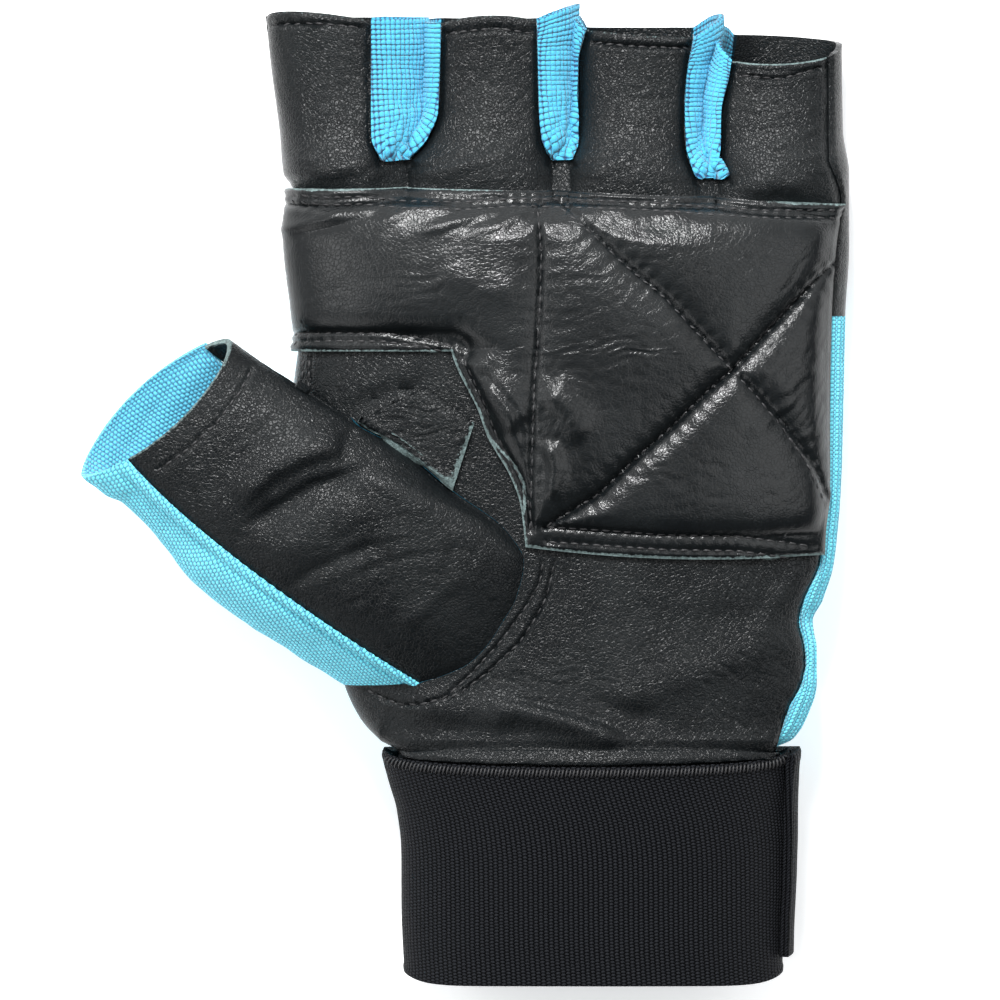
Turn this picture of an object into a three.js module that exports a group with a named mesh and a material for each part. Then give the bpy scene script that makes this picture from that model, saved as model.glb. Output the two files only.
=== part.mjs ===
import * as THREE from 'three';

// Named sizes in millimetres. The glove lies palm up with the fingers towards +Y.
const PALM_WIDTH = 110;      // across the knuckles, the unit of every share across
const HAND_LENGTH = 147;     // wrist seam to the index mouth, the unit of every share along
const HAND_DEPTH = 28;       // palm to back at the knuckles, the unit of every share up
const LEATHER = 1.2;         // wall of the leather panels
const FABRIC = 1.1;          // wall of the stretch fabric
const ELASTIC = 1.9;         // wall of the woven wrist elastic
const SEAM_GAP = 0.3;        // clearance between two panels at a seam
const LAY_GAP = 0.3;         // clearance between a piece and the one it lies on
const PAD_GAP = 0.75;        // clearance under the pad on the flat of the palm
const PAD_SPARE = 0.3;       // and what is added to it where the palm curves away
const PAD_EDGE = 1.2;        // pad thickness at its raw edge
const PAD_RISE = 2.4;        // extra thickness where the padding is fullest
const QUILT_REACH = 4.2;     // how far from a stitch line the padding is still held down
const PATCH = 1.1;           // crotch patch thickness
const ROUNDNESS = 2.4;       // exponent of the hand and finger cross-sections
const BAND_HEIGHT = 46.6;    // wrist elastic from edge to edge
const STRAP_HEIGHT = 42.6;   // second layer of the elastic
const STRAP_ROOM = 2.2;      // how far the hidden second layer lifts the band off the floor

// Hand cross-sections from the tucked wrist end to the index mouth. left and right are
// shares of PALM_WIDTH from the centre line; side, palm and back are shares of HAND_DEPTH:
// the height of the side line, and how far the palm rises and the back drops from it.
const HAND = [
  { at: -0.0550, left: -0.2860, right: 0.3700, side: 0.611, palm: 0.410, back: 0.415 },
  { at: -0.0272, left: -0.2980, right: 0.3740, side: 0.611, palm: 0.415, back: 0.420 },
  { at: 0.0030, left: -0.3060, right: 0.3820, side: 0.611, palm: 0.428, back: 0.428 },
  { at: 0.0163, left: -0.3400, right: 0.4164, side: 0.604, palm: 0.466, back: 0.471 },
  { at: 0.0476, left: -0.3764, right: 0.4418, side: 0.589, palm: 0.484, back: 0.500 },
  { at: 0.0898, left: -0.4018, right: 0.4582, side: 0.571, palm: 0.500, back: 0.525 },
  { at: 0.1361, left: -0.4164, right: 0.4582, side: 0.557, palm: 0.511, back: 0.540 },
  { at: 0.1755, left: -0.4291, right: 0.4509, side: 0.543, palm: 0.518, back: 0.545 },
  { at: 0.2041, left: -0.4382, right: 0.4691, side: 0.536, palm: 0.525, back: 0.545 },
  { at: 0.2612, left: -0.4564, right: 0.4909, side: 0.518, palm: 0.540, back: 0.545 },
  { at: 0.3782, left: -0.4818, right: 0.5036, side: 0.500, palm: 0.556, back: 0.536 },
  { at: 0.4830, left: -0.4945, right: 0.5073, side: 0.482, palm: 0.564, back: 0.521 },
  { at: 0.5918, left: -0.4800, right: 0.5109, side: 0.464, palm: 0.554, back: 0.500 },
  { at: 0.6871, left: -0.4930, right: 0.5182, side: 0.446, palm: 0.518, back: 0.471 },
  { at: 0.7650, left: -0.4960, right: 0.5182, side: 0.417, palm: 0.457, back: 0.436 },
  { at: 0.7860, left: -0.5130, right: 0.5182, side: 0.411, palm: 0.446, back: 0.429 },
  { at: 0.8435, left: -0.5200, right: 0.5073, side: 0.375, palm: 0.375, back: 0.357 },
  { at: 0.9252, left: -0.5345, right: 0.5055, side: 0.357, palm: 0.321, back: 0.321 },
  { at: 1.0000, left: -0.5455, right: 0.5055, side: 0.357, palm: 0.304, back: 0.304 },
];

// Lines that run the length of the hand, as shares of PALM_WIDTH across. edge is where the
// palm leather ends on the outer side; thumb is the seam round the ball of the thumb and
// under is the hidden seam of the thumb on the back.
const LINES = [
  { at: -0.0550, edge: 0.3500, thumb: -0.2000, under: -0.1700 },
  { at: 0.0041, edge: 0.3740, thumb: -0.2150, under: -0.1900 },
  { at: 0.0299, edge: 0.3945, thumb: -0.2450, under: -0.2100 },
  { at: 0.0585, edge: 0.4109, thumb: -0.2600, under: -0.2400 },
  { at: 0.0898, edge: 0.4327, thumb: -0.2640, under: -0.2700 },
  { at: 0.1007, edge: 0.4370, thumb: -0.2236, under: -0.2650 },
  { at: 0.1170, edge: 0.4410, thumb: -0.1764, under: -0.2560 },
  { at: 0.1469, edge: 0.4382, thumb: -0.1370, under: -0.2420 },
  { at: 0.1755, edge: 0.4291, thumb: -0.1127, under: -0.2320 },
  { at: 0.2068, edge: 0.4400, thumb: -0.0890, under: -0.2260 },
  { at: 0.2558, edge: 0.4673, thumb: -0.0745, under: -0.2250 },
  { at: 0.2993, edge: 0.4709, thumb: -0.1080, under: -0.2320 },
  { at: 0.3537, edge: 0.4782, thumb: -0.2055, under: -0.2760 },
  { at: 0.4109, edge: 0.4782, thumb: -0.3000, under: -0.3500 },
  { at: 0.4517, edge: 0.4782, thumb: -0.3873, under: -0.4300 },
  { at: 0.5918, edge: 0.4818, thumb: -0.4120, under: -0.4000 },
  { at: 0.6612, edge: 0.4873, thumb: -0.4240, under: -0.4150 },
  { at: 0.7184, edge: 0.4964, thumb: -0.4350, under: -0.4300 },
  { at: 0.7483, edge: 0.5055, thumb: -0.4430, under: -0.4400 },
  { at: 0.8027, edge: 0.4818, thumb: -0.4600, under: -0.4600 },
];

// The gaps between the fingers, from each crotch to the mouths: the two seams of the
// gusset and the fold line between them, as shares of PALM_WIDTH across.
const SLOTS = [
  {
    name: 'fourchette_one',
    rows: [
      { at: 0.8027, left: -0.3345, fold: -0.3000, right: -0.2855 },
      { at: 0.8299, left: -0.3509, fold: -0.2782, right: -0.2527 },
      { at: 0.8707, left: -0.3527, fold: -0.2582, right: -0.2309 },
      { at: 0.9388, left: -0.3527, fold: -0.2545, right: -0.2273 },
      { at: 0.9973, left: -0.3527, fold: -0.2545, right: -0.2255 },
    ],
  },
  {
    name: 'fourchette_two',
    rows: [
      { at: 0.8027, left: -0.0236, fold: -0.0055, right: 0.0091 },
      { at: 0.8299, left: -0.0418, fold: 0.0091, right: 0.0200 },
      { at: 0.8707, left: -0.0473, fold: 0.0127, right: 0.0235 },
      { at: 0.9388, left: -0.0491, fold: 0.0145, right: 0.0255 },
      { at: 0.9932, left: -0.0509, fold: 0.0200, right: 0.0436 },
    ],
  },
  {
    name: 'fourchette_three',
    rows: [
      { at: 0.7782, left: 0.2455, fold: 0.2655, right: 0.2764 },
      { at: 0.8163, left: 0.2220, fold: 0.2520, right: 0.2820 },
      { at: 0.8707, left: 0.2180, fold: 0.2509, right: 0.2850 },
      { at: 0.9143, left: 0.2218, fold: 0.2570, right: 0.2980 },
      { at: 0.9728, left: 0.2350, fold: 0.2820, right: 0.3091 },
    ],
  },
];

// The finger mouths, as shares of HAND_LENGTH along: the front rim at each finger's left
// edge, middle and right edge, and the back rim, which meets it at the outer side lines.
const MOUTHS = [
  { name: 'index', left: 1.0000, middle: 1.0054, right: 0.9932, rear: 1.0000 },
  { name: 'middle', left: 0.9905, middle: 1.0000, right: 0.9932, rear: 0.9986 },
  { name: 'ring', left: 0.9810, middle: 0.9728, right: 0.9701, rear: 0.9860 },
  { name: 'little', left: 0.9388, middle: 0.9360, right: 0.9625, rear: 0.9762 },
];

// Rows of the hand grid up to the crotches, as shares of HAND_LENGTH.
const LEVELS = [
  -0.0550, -0.0272, 0.0030, 0.0163, 0.0381, 0.0653, 0.0898, 0.1007, 0.1197, 0.1469, 0.1837,
  0.2204, 0.2585, 0.3020, 0.3510, 0.4014, 0.4517, 0.5034, 0.5469, 0.5905, 0.6395, 0.6871,
  0.7240, 0.7540, 0.7782, 0.8027,
];
const THUMB_LOW = 6;         // row at the lower end of the thumb opening
const THUMB_HIGH = 16;       // row at its upper end
const STRIP_LOW = 19;        // row where the side strip and the back leather begin
const CROTCH_ROWS = [25, 25, 24];
const FINGER_ROWS = 6;
const THUMB_SLANT = 0.031;   // the upper end of the opening climbs this much to the side line

// Columns: cells across each finger, gap and the side strip on the palm and on the back.
const PALM_CELLS = { index: 6, gap: 2, middle: 5, ring: 5, little: 5, strip: 2, thumb: 3 };
const BACK_CELLS = { index: 4, gap: 2, middle: 4, ring: 4, little: 3, strip: 1, thumb: 2 };
const SIDE_SPREAD = 1.7;     // draws the columns together towards the left side line

// Soft folds of the palm leather: shares along and across at both ends, with the half
// width and the rise in millimetres.
const FOLDS = [
  { x1: -0.110, y1: 0.056, x2: 0.060, y2: 0.020, half: 3.2, rise: 1.1 },
  { x1: -0.250, y1: 0.068, x2: -0.120, y2: 0.048, half: 3.0, rise: 0.8 },
  { x1: 0.120, y1: 0.075, x2: 0.400, y2: 0.150, half: 4.0, rise: 0.7 },
  { x1: 0.430, y1: 0.235, x2: 0.360, y2: 0.170, half: 3.0, rise: 0.8 },
  { x1: -0.330, y1: 0.760, x2: 0.440, y2: 0.735, half: 2.6, rise: -0.7 },
];

// Seam lines that hold the pad down: shares across and along of the points on each.
const QUILT = [
  { name: 'upright', points: [[-0.049, 0.735], [-0.044, 0.640], [-0.051, 0.540], [-0.064, 0.400],
    [-0.064, 0.290]] },
  { name: 'falling', points: [[-0.009, 0.738], [0.107, 0.660], [0.253, 0.556], [0.345, 0.483],
    [0.438, 0.392], [0.467, 0.344]] },
  { name: 'rising', points: [[0.478, 0.660], [0.380, 0.582], [0.302, 0.517], [0.189, 0.437],
    [0.062, 0.348], [-0.036, 0.303]] },
];
// The diagonal raw edge of the pad beside the thumb, as a share across.
const PAD_SIDE = [
  { at: 0.2660, x: -0.0700 },
  { at: 0.3333, x: -0.0810 },
  { at: 0.3673, x: -0.0964 },
  { at: 0.4286, x: -0.1418 },
  { at: 0.4626, x: -0.1582 },
  { at: 0.5279, x: -0.2000 },
  { at: 0.5480, x: -0.2070 },
  { at: 0.7650, x: -0.1800 },
];
const PAD_TURN = 0.5415;     // level where the pad's lower left edge meets the diagonal
const PAD_FOOT = { left: 0.2762, middle: 0.2600, right: 0.2660 };
const PAD_HEAD = { left: 0.7670, middle: 0.7571, right: 0.7442 };

// The four corners of the crotch patch: shares across and along.
const PATCH_CORNERS = {
  web: [-0.3860, 0.4560], fold: [-0.2530, 0.4920], palm: [-0.1700, 0.4440], seam: [-0.2090, 0.3600],
};

// The thumb mouth: its centre (shares across, along and up), half width, half depth, the
// way its long side runs, and the axis of the stall that leaves it.
const THUMB = {
  centre: [-0.7400, 0.4680, 0.860], halfWidth: 20.0, halfDepth: 9.6,
  across: [0.731, 0.683, 0.000], axis: [-0.780, 0.560, 0.280], overlap: 2.6,
  stations: 8, webAngle: -28, crotchAngle: 4, seamAngle: 127, heelAngle: 176, foldAngle: -40,
  mouthPull: 0.90, basePull: 0.75,
};

// Wrist band sections from its lower to its upper edge: shares across, and heights up.
const BAND = [
  { at: 0.000, left: -0.2920, right: 0.3960, side: 0.611, rise: 0.528 },
  { at: 0.200, left: -0.2964, right: 0.3990, side: 0.611, rise: 0.532 },
  { at: 0.550, left: -0.2982, right: 0.4036, side: 0.611, rise: 0.536 },
  { at: 0.720, left: -0.3055, right: 0.4045, side: 0.611, rise: 0.539 },
  { at: 0.880, left: -0.3240, right: 0.4060, side: 0.611, rise: 0.543 },
  { at: 0.960, left: -0.3315, right: 0.4075, side: 0.611, rise: 0.550 },
  { at: 1.000, left: -0.3290, right: 0.4045, side: 0.611, rise: 0.540 },
];
const BAND_COLUMNS = 36;
const STRAP_START = 14;      // degrees above the right side line on the palm side
const STRAP_END = -118;      // and past the middle of the back
const TAB_END = -142;

const radians = (degrees) => (degrees * Math.PI) / 180;
const mix = (a, b, t) => a + (b - a) * t;
const clamp = (value, low, high) => Math.min(high, Math.max(low, value));
const smooth = (t) => { const u = clamp(t, 0, 1); return u * u * (3 - 2 * u); };

// Reads one named column of a table at any level, by a smooth curve through its rows.
function along(rows, at, key) {
  const last = rows.length - 1;
  if (at <= rows[0].at) return rows[0][key];
  if (at >= rows[last].at) return rows[last][key];
  let i = 0;
  while (rows[i + 1].at < at) i += 1;
  const slope = (k) => {
    if (k <= 0 || k >= last) return k <= 0
      ? (rows[1][key] - rows[0][key]) / (rows[1].at - rows[0].at)
      : (rows[last][key] - rows[last - 1][key]) / (rows[last].at - rows[last - 1].at);
    const before = (rows[k][key] - rows[k - 1][key]) / (rows[k].at - rows[k - 1].at);
    const after = (rows[k + 1][key] - rows[k][key]) / (rows[k + 1].at - rows[k].at);
    if (before * after <= 0) return 0;
    return (2 * before * after) / (before + after);
  };
  const span = rows[i + 1].at - rows[i].at;
  const t = (at - rows[i].at) / span;
  const a = rows[i][key], b = rows[i + 1][key];
  return (2 * t ** 3 - 3 * t ** 2 + 1) * a + (t ** 3 - 2 * t ** 2 + t) * span * slope(i)
    + (-2 * t ** 3 + 3 * t ** 2) * b + (t ** 3 - t ** 2) * span * slope(i + 1);
}

const bulge = (share) => (1 - Math.min(1, Math.abs(share)) ** ROUNDNESS) ** (1 / ROUNDNESS);

// How far a fold lifts the surface at a point.
function foldLift(x, y) {
  let lift = 0;
  for (const fold of FOLDS) {
    const ax = fold.x1 * PALM_WIDTH, ay = fold.y1 * HAND_LENGTH;
    const bx = fold.x2 * PALM_WIDTH, by = fold.y2 * HAND_LENGTH;
    const reach = Math.hypot(bx - ax, by - ay);
    const t = ((x - ax) * (bx - ax) + (y - ay) * (by - ay)) / reach ** 2;
    const s = clamp(t, 0, 1);
    const away = Math.hypot(x - mix(ax, bx, s), y - mix(ay, by, s)) / fold.half;
    lift += fold.rise * Math.exp(-away * away);
  }
  return lift;
}

// The side lines, fold lines and heights of the hand at one level.
function sectionAt(y) {
  const at = y / HAND_LENGTH;
  const read = (key) => along(HAND, at, key);
  return {
    left: read('left') * PALM_WIDTH, right: read('right') * PALM_WIDTH,
    side: read('side') * HAND_DEPTH, palm: read('palm') * HAND_DEPTH,
    back: read('back') * HAND_DEPTH,
    folds: SLOTS.map((slot) => along(slot.rows, at, 'fold') * PALM_WIDTH),
    lefts: SLOTS.map((slot) => along(slot.rows, at, 'left') * PALM_WIDTH),
    rights: SLOTS.map((slot) => along(slot.rows, at, 'right') * PALM_WIDTH),
  };
}

// Height of the glove's outer face, on the palm side or on the back.
function faceHeight(x, y, palmSide) {
  const s = sectionAt(y);
  const reach = palmSide ? s.palm : -s.back;
  const dome = (low, high) => s.side + reach * bulge((x - (low + high) / 2) / ((high - low) / 2));
  const whole = dome(s.left, s.right);
  const split = smooth((y / HAND_LENGTH - 0.700) / (0.805 - 0.700));
  let height = whole;
  if (split > 0) {
    let finger = 0;
    while (finger < 3 && x > s.rights[finger]) finger += 1;
    const tube = (f, px) => {
      const low = f === 0 ? s.left : s.folds[f - 1];
      const high = f === 3 ? s.right : s.folds[f];
      return s.side + reach * bulge((px - (low + high) / 2) / ((high - low) / 2));
    };
    let own;
    if (finger < 3 && x > s.lefts[finger]) {
      const t = (x - s.lefts[finger]) / (s.rights[finger] - s.lefts[finger]);
      own = mix(tube(finger, s.lefts[finger]), tube(finger + 1, s.rights[finger]), t);
    } else {
      own = tube(finger, x);
    }
    height = mix(whole, own, split);
  }
  if (palmSide) return height + foldLift(x, y) * smooth((height - s.side) / 5);
  return Math.max(0, height);
}

// The columns of one side as a list of named spans.
function spansOf(cells) {
  const spans = [];
  const add = (name, count) => {
    const start = spans.length ? spans[spans.length - 1].end : 0;
    spans.push({ name, start, end: start + count });
  };
  add('index', cells.index); add('gap0', cells.gap); add('middle', cells.middle);
  add('gap1', cells.gap); add('ring', cells.ring); add('gap2', cells.gap);
  add('little', cells.little); add('strip', cells.strip);
  return spans;
}

// Position across of every column at a level above the crotches.
function fingerColumns(y, cells) {
  const s = sectionAt(y);
  const edge = along(LINES, y / HAND_LENGTH, 'edge') * PALM_WIDTH;
  const stops = [s.left, s.lefts[0], s.rights[0], s.lefts[1], s.rights[1], s.lefts[2],
    s.rights[2], edge, s.right];
  const spans = spansOf(cells);
  const xs = new Array(spans[7].end + 1);
  spans.forEach((span, k) => {
    const count = span.end - span.start;
    for (let i = 0; i <= count; i += 1) {
      let t = i / count;
      if (k === 0) t **= SIDE_SPREAD;
      if (k === 7) t = Math.sin((t * Math.PI) / 2);
      xs[span.start + i] = mix(stops[k], stops[k + 1], t);
    }
  });
  return xs;
}

// Position across of every column at a level below the crotches.
function handColumns(y, cells, palmSide) {
  const at = y / HAND_LENGTH;
  const s = sectionAt(y);
  const edge = along(LINES, at, 'edge') * PALM_WIDTH;
  const line = along(LINES, at, palmSide ? 'thumb' : 'under') * PALM_WIDTH;
  const top = fingerColumns(CROTCH_AT * HAND_LENGTH, cells);
  const strip = spansOf(cells)[7];
  return top.map((x, i) => {
    if (i <= cells.thumb) return mix(s.left, line, (i / cells.thumb) ** SIDE_SPREAD);
    if (i >= strip.start) {
      const t = (i - strip.start) / (strip.end - strip.start);
      return mix(edge, s.right, Math.sin((t * Math.PI) / 2));
    }
    const share = (x - top[cells.thumb]) / (top[strip.start] - top[cells.thumb]);
    return mix(line, edge, share);
  });
}
const CROTCH_AT = LEVELS[LEVELS.length - 1];

// Level of a finger's rim at a column.
function rimLevel(finger, t, palmSide) {
  const mouth = MOUTHS[finger];
  if (!palmSide) {
    if (finger === 0) return mix(mouth.left, mouth.rear, Math.sqrt(t));
    return finger === MOUTHS.length - 1 ? mix(mouth.rear, mouth.right, t ** 2) : mouth.rear;
  }
  const low = mix(mouth.left, mouth.right, t);
  return low + (mouth.middle - (mouth.left + mouth.right) / 2) * 4 * t * (1 - t);
}

// All the points of one side, row by row.
function sideGrid(cells, palmSide) {
  const spans = spansOf(cells);
  const rows = [];
  const put = (x, y) => new THREE.Vector3(x, y, faceHeight(x, y, palmSide));
  LEVELS.forEach((level, j) => {
    const xs = handColumns(level * HAND_LENGTH, cells, palmSide);
    rows.push(xs.map((x, i) => {
      const near = 1 - Math.abs(j - THUMB_HIGH) / 3;
      const climb = i < cells.thumb && near > 0 ? THUMB_SLANT * near * (1 - i / cells.thumb) : 0;
      const y = (level + climb) * HAND_LENGTH;
      if (climb > 0) return put(handColumns(y, cells, palmSide)[i], y);
      return put(x, y);
    }));
  });
  for (let k = 1; k <= FINGER_ROWS; k += 1) {
    const row = new Array(spans[7].end + 1).fill(null);
    spans.forEach((span, n) => {
      if (span.name.startsWith('gap')) return;
      const finger = Math.min(3, Math.floor(n / 2));
      const from = spans[finger * 2].start;
      const to = finger === 3 ? spans[7].end : spans[finger * 2].end;
      for (let i = span.start; i <= span.end; i += 1) {
        const rim = rimLevel(finger, (i - from) / (to - from), palmSide);
        const y = mix(CROTCH_AT, rim, k / FINGER_ROWS) * HAND_LENGTH;
        row[i] = put(fingerColumns(y, cells)[i], y);
      }
    });
    rows.push(row);
  }
  // The side lines are shared by both sides of the glove.
  rows.forEach((row) => {
    [0, spans[7].end].forEach((i) => {
      row[i].z = sectionAt(row[i].y).side;
    });
  });
  return { rows, spans };
}

// The outer face of the whole glove as four-cornered faces, each marked with its panel.
class Shell {
  constructor() {
    this.points = [];
    this.keys = new Map();
    this.faces = [];
  }

  point(v) {
    const key = [v.x, v.y, v.z].map((n) => Math.round(n * 1e4)).join(' ');
    if (!this.keys.has(key)) {
      this.keys.set(key, this.points.length);
      this.points.push(v.clone());
    }
    return this.keys.get(key);
  }

  face(panel, a, b, c, d) {
    const ring = [a, b, c, d].map((v) => this.point(v));
    this.faces.push({ panel, ring: ring.filter((id, i) => id !== ring[(i + 3) % 4]) });
  }

  normals() {
    const sums = this.points.map(() => new THREE.Vector3());
    this.faces.forEach(({ ring }) => {
      const n = faceNormal(ring.map((id) => this.points[id]));
      ring.forEach((id) => sums[id].add(n));
    });
    return sums.map((n) => n.normalize());
  }
}

function faceNormal(corners) {
  const n = new THREE.Vector3();
  corners.forEach((p, i) => {
    const q = corners[(i + 1) % corners.length];
    n.x += (p.y - q.y) * (p.z + q.z);
    n.y += (p.z - q.z) * (p.x + q.x);
    n.z += (p.x - q.x) * (p.y + q.y);
  });
  return n;
}

// Turns some faces of a shell into a closed wall: the outer face, the inner face a wall's
// thickness inside it, and a rim. Its border is drawn in by half the seam gap.
function wallOf(shell, normals, faces, thickness, inset = SEAM_GAP / 2) {
  const edges = new Map();
  faces.forEach(({ ring }) => ring.forEach((a, i) => {
    const b = ring[(i + 1) % ring.length];
    edges.set(`${a} ${b}`, [a, b]);
  }));
  const border = [...edges.values()].filter(([a, b]) => !edges.has(`${b} ${a}`));
  const shift = new Map();
  border.forEach(([a, b]) => {
    [a, b].forEach((id) => {
      const run = shell.points[b].clone().sub(shell.points[a]).normalize();
      const into = normals[id].clone().cross(run).normalize();
      if (!shift.has(id)) shift.set(id, []);
      shift.get(id).push(into);
    });
  });
  const local = new Map();
  const positions = [];
  const place = (id) => {
    if (!local.has(id)) {
      const p = shell.points[id].clone();
      if (shift.has(id)) {
        const ways = shift.get(id);
        const sum = ways.reduce((s, w) => s.add(w), new THREE.Vector3());
        const size = sum.length() / ways.length;
        p.addScaledVector(sum.normalize(), inset / Math.max(0.5, size));
      }
      const q = p.clone().addScaledVector(normals[id], -thickness);
      local.set(id, positions.length / 3);
      positions.push(p.x, p.y, p.z, q.x, q.y, q.z);
    }
    return local.get(id);
  };
  const indices = [];
  const quad = (a, b, c, d) => indices.push(a, b, c, a, c, d);
  faces.forEach(({ ring }) => {
    const o = ring.map(place);
    for (let k = 1; k < o.length - 1; k += 1) {
      indices.push(o[0], o[k], o[k + 1]);
      indices.push(o[0] + 1, o[k + 1] + 1, o[k] + 1);
    }
  });
  border.forEach(([a, b]) => {
    const p = place(a), q = place(b);
    quad(q, p, p + 1, q + 1);
  });
  const geometry = new THREE.BufferGeometry();
  geometry.setAttribute('position', new THREE.Float32BufferAttribute(positions, 3));
  geometry.setIndex(indices);
  geometry.computeVertexNormals();
  return geometry;
}

// A wall between two grids of points, the outer and the inner, rows by columns.
function wallBetween(outer, inner, keep = () => true, loop = false) {
  const shell = { points: [] };
  const rows = outer.length, columns = outer[0].length;
  const positions = [];
  const index = (j, i, side) => (j * columns + (i % columns)) * 2 + side;
  for (let j = 0; j < rows; j += 1) for (let i = 0; i < columns; i += 1) {
    const p = outer[j][i], q = inner[j][i];
    positions.push(p.x, p.y, p.z, q.x, q.y, q.z);
  }
  const across = loop ? columns : columns - 1;
  const has = (j, i) => j >= 0 && j < rows - 1 && (loop || (i >= 0 && i < across))
    && keep(j, loop ? (i + columns) % columns : i);
  const indices = [];
  const quad = (a, b, c, d) => indices.push(a, b, c, a, c, d);
  for (let j = 0; j < rows - 1; j += 1) for (let i = 0; i < across; i += 1) {
    if (!has(j, i)) continue;
    const k = i + 1;
    quad(index(j, i, 0), index(j, k, 0), index(j + 1, k, 0), index(j + 1, i, 0));
    quad(index(j, i, 1), index(j + 1, i, 1), index(j + 1, k, 1), index(j, k, 1));
    const rim = (ja, ia, jb, ib) => quad(index(jb, ib, 0), index(ja, ia, 0), index(ja, ia, 1),
      index(jb, ib, 1));
    if (!has(j - 1, i)) rim(j, i, j, k);
    if (!has(j + 1, i)) rim(j + 1, k, j + 1, i);
    if (!has(j, i - 1)) rim(j + 1, i, j, i);
    if (!has(j, i + 1)) rim(j, k, j + 1, k);
  }
  const used = new Map();
  const packed = [];
  const list = indices.map((id) => {
    if (!used.has(id)) {
      used.set(id, used.size);
      packed.push(positions[id * 3], positions[id * 3 + 1], positions[id * 3 + 2]);
    }
    return used.get(id);
  });
  shell.points = packed;
  const geometry = new THREE.BufferGeometry();
  geometry.setAttribute('position', new THREE.Float32BufferAttribute(packed, 3));
  geometry.setIndex(list);
  geometry.computeVertexNormals();
  return geometry;
}

// Which panel a cell of a side belongs to, or none where the glove is open.
function panelOf(palmSide, row, column, spans, cells) {
  const strip = spans[7];
  if (column >= strip.start) return row >= STRIP_LOW ? 'side_strip' : 'back_fabric';
  const gap = [spans[1], spans[3], spans[5]].findIndex((s) => column >= s.start && column < s.end);
  if (gap >= 0 && row >= CROTCH_ROWS[gap]) return null;
  if (column < cells.thumb && row >= THUMB_LOW && row < THUMB_HIGH) return null;
  if (palmSide) return 'palm_leather';
  return row >= STRIP_LOW ? 'back_leather' : 'back_fabric';
}

function addSide(shell, grid, cells, palmSide) {
  const { rows, spans } = grid;
  for (let j = 0; j < rows.length - 1; j += 1) for (let i = 0; i < spans[7].end; i += 1) {
    const panel = panelOf(palmSide, j, i, spans, cells);
    if (!panel) continue;
    const ring = [rows[j][i], rows[j][i + 1], rows[j + 1][i + 1], rows[j + 1][i]];
    if (!palmSide) ring.reverse();
    shell.face(panel, ...ring);
  }
}

// A U-shaped gusset from the seam on the palm side to the seam on the back.
function addGusset(shell, palm, back, slot) {
  const cellsAcross = 5;
  const low = CROTCH_ROWS[slot];
  const high = palm.rows.length - 1;
  const path = (grid) => {
    const span = grid.spans[slot * 2 + 1];
    const list = [];
    for (let j = high; j > low; j -= 1) list.push({ p: grid.rows[j][span.start], way: -1, row: j });
    for (let i = span.start; i <= span.end; i += 1) {
      const way = (2 * (i - span.start)) / (span.end - span.start) - 1;
      list.push({ p: grid.rows[low][i], way, row: low });
    }
    for (let j = low + 1; j <= high; j += 1) list.push({ p: grid.rows[j][span.end], way: 1, row: j });
    return list;
  };
  const lifts = [5.6, 3.2, 1.2];
  const fronts = path(palm), backs = path(back);
  const lines = fronts.map((front, k) => {
    const rear = backs[k];
    const lift = lifts[front.row - low] ?? 0;
    const line = [];
    for (let n = 0; n <= cellsAcross; n += 1) {
      const t = n / cellsAcross;
      const share = (1 - Math.cos(Math.PI * t)) / 2;
      const p = front.p.clone().lerp(rear.p, share);
      const out = Math.sin(Math.PI * t);
      const level = p.y + lift * out;
      const fold = along(SLOTS[slot].rows, level / HAND_LENGTH, 'fold') * PALM_WIDTH;
      const target = fold + front.way * (SEAM_GAP * 0.7);
      p.x = mix(p.x, target, n === 0 || n === cellsAcross ? 0 : out);
      p.y = level;
      line.push(p);
    }
    return line;
  });
  for (let k = 0; k < lines.length - 1; k += 1) for (let n = 0; n < cellsAcross; n += 1) {
    shell.face(SLOTS[slot].name, lines[k][n], lines[k + 1][n], lines[k + 1][n + 1], lines[k][n + 1]);
  }
}

// The seam of the thumb on the hand, all the way round, each point with its angle.
function thumbSeam(palm, back) {
  const list = [];
  const p = PALM_CELLS.thumb, b = BACK_CELLS.thumb;
  const spread = (points, from, to) => {
    const lengths = [0];
    for (let k = 1; k < points.length; k += 1) {
      lengths.push(lengths[k - 1] + points[k].distanceTo(points[k - 1]));
    }
    points.forEach((point, k) => {
      if (k < points.length - 1) {
        list.push({ point, angle: mix(from, to, lengths[k] / lengths[points.length - 1]) });
      }
    });
  };
  const column = (grid, i, from, to) => {
    const points = [];
    const step = from < to ? 1 : -1;
    for (let j = from; j !== to + step; j += step) points.push(grid.rows[j][i]);
    return points;
  };
  const rowOf = (grid, j, from, to) => {
    const points = [];
    const step = from < to ? 1 : -1;
    for (let i = from; i !== to + step; i += step) points.push(grid.rows[j][i]);
    return points;
  };
  spread(rowOf(palm, THUMB_HIGH, 0, p), THUMB.webAngle, THUMB.crotchAngle);
  spread(column(palm, p, THUMB_HIGH, THUMB_LOW), THUMB.crotchAngle, THUMB.seamAngle);
  spread(rowOf(palm, THUMB_LOW, p, 0), THUMB.seamAngle, THUMB.heelAngle);
  const rear = [...rowOf(back, THUMB_LOW, 0, b), ...column(back, b, THUMB_LOW, THUMB_HIGH).slice(1),
    ...rowOf(back, THUMB_HIGH, b, 0).slice(1)];
  spread(rear, THUMB.heelAngle, 360 + THUMB.webAngle);
  return list;
}

const axisOf = () => new THREE.Vector3(...THUMB.axis).normalize();

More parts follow.
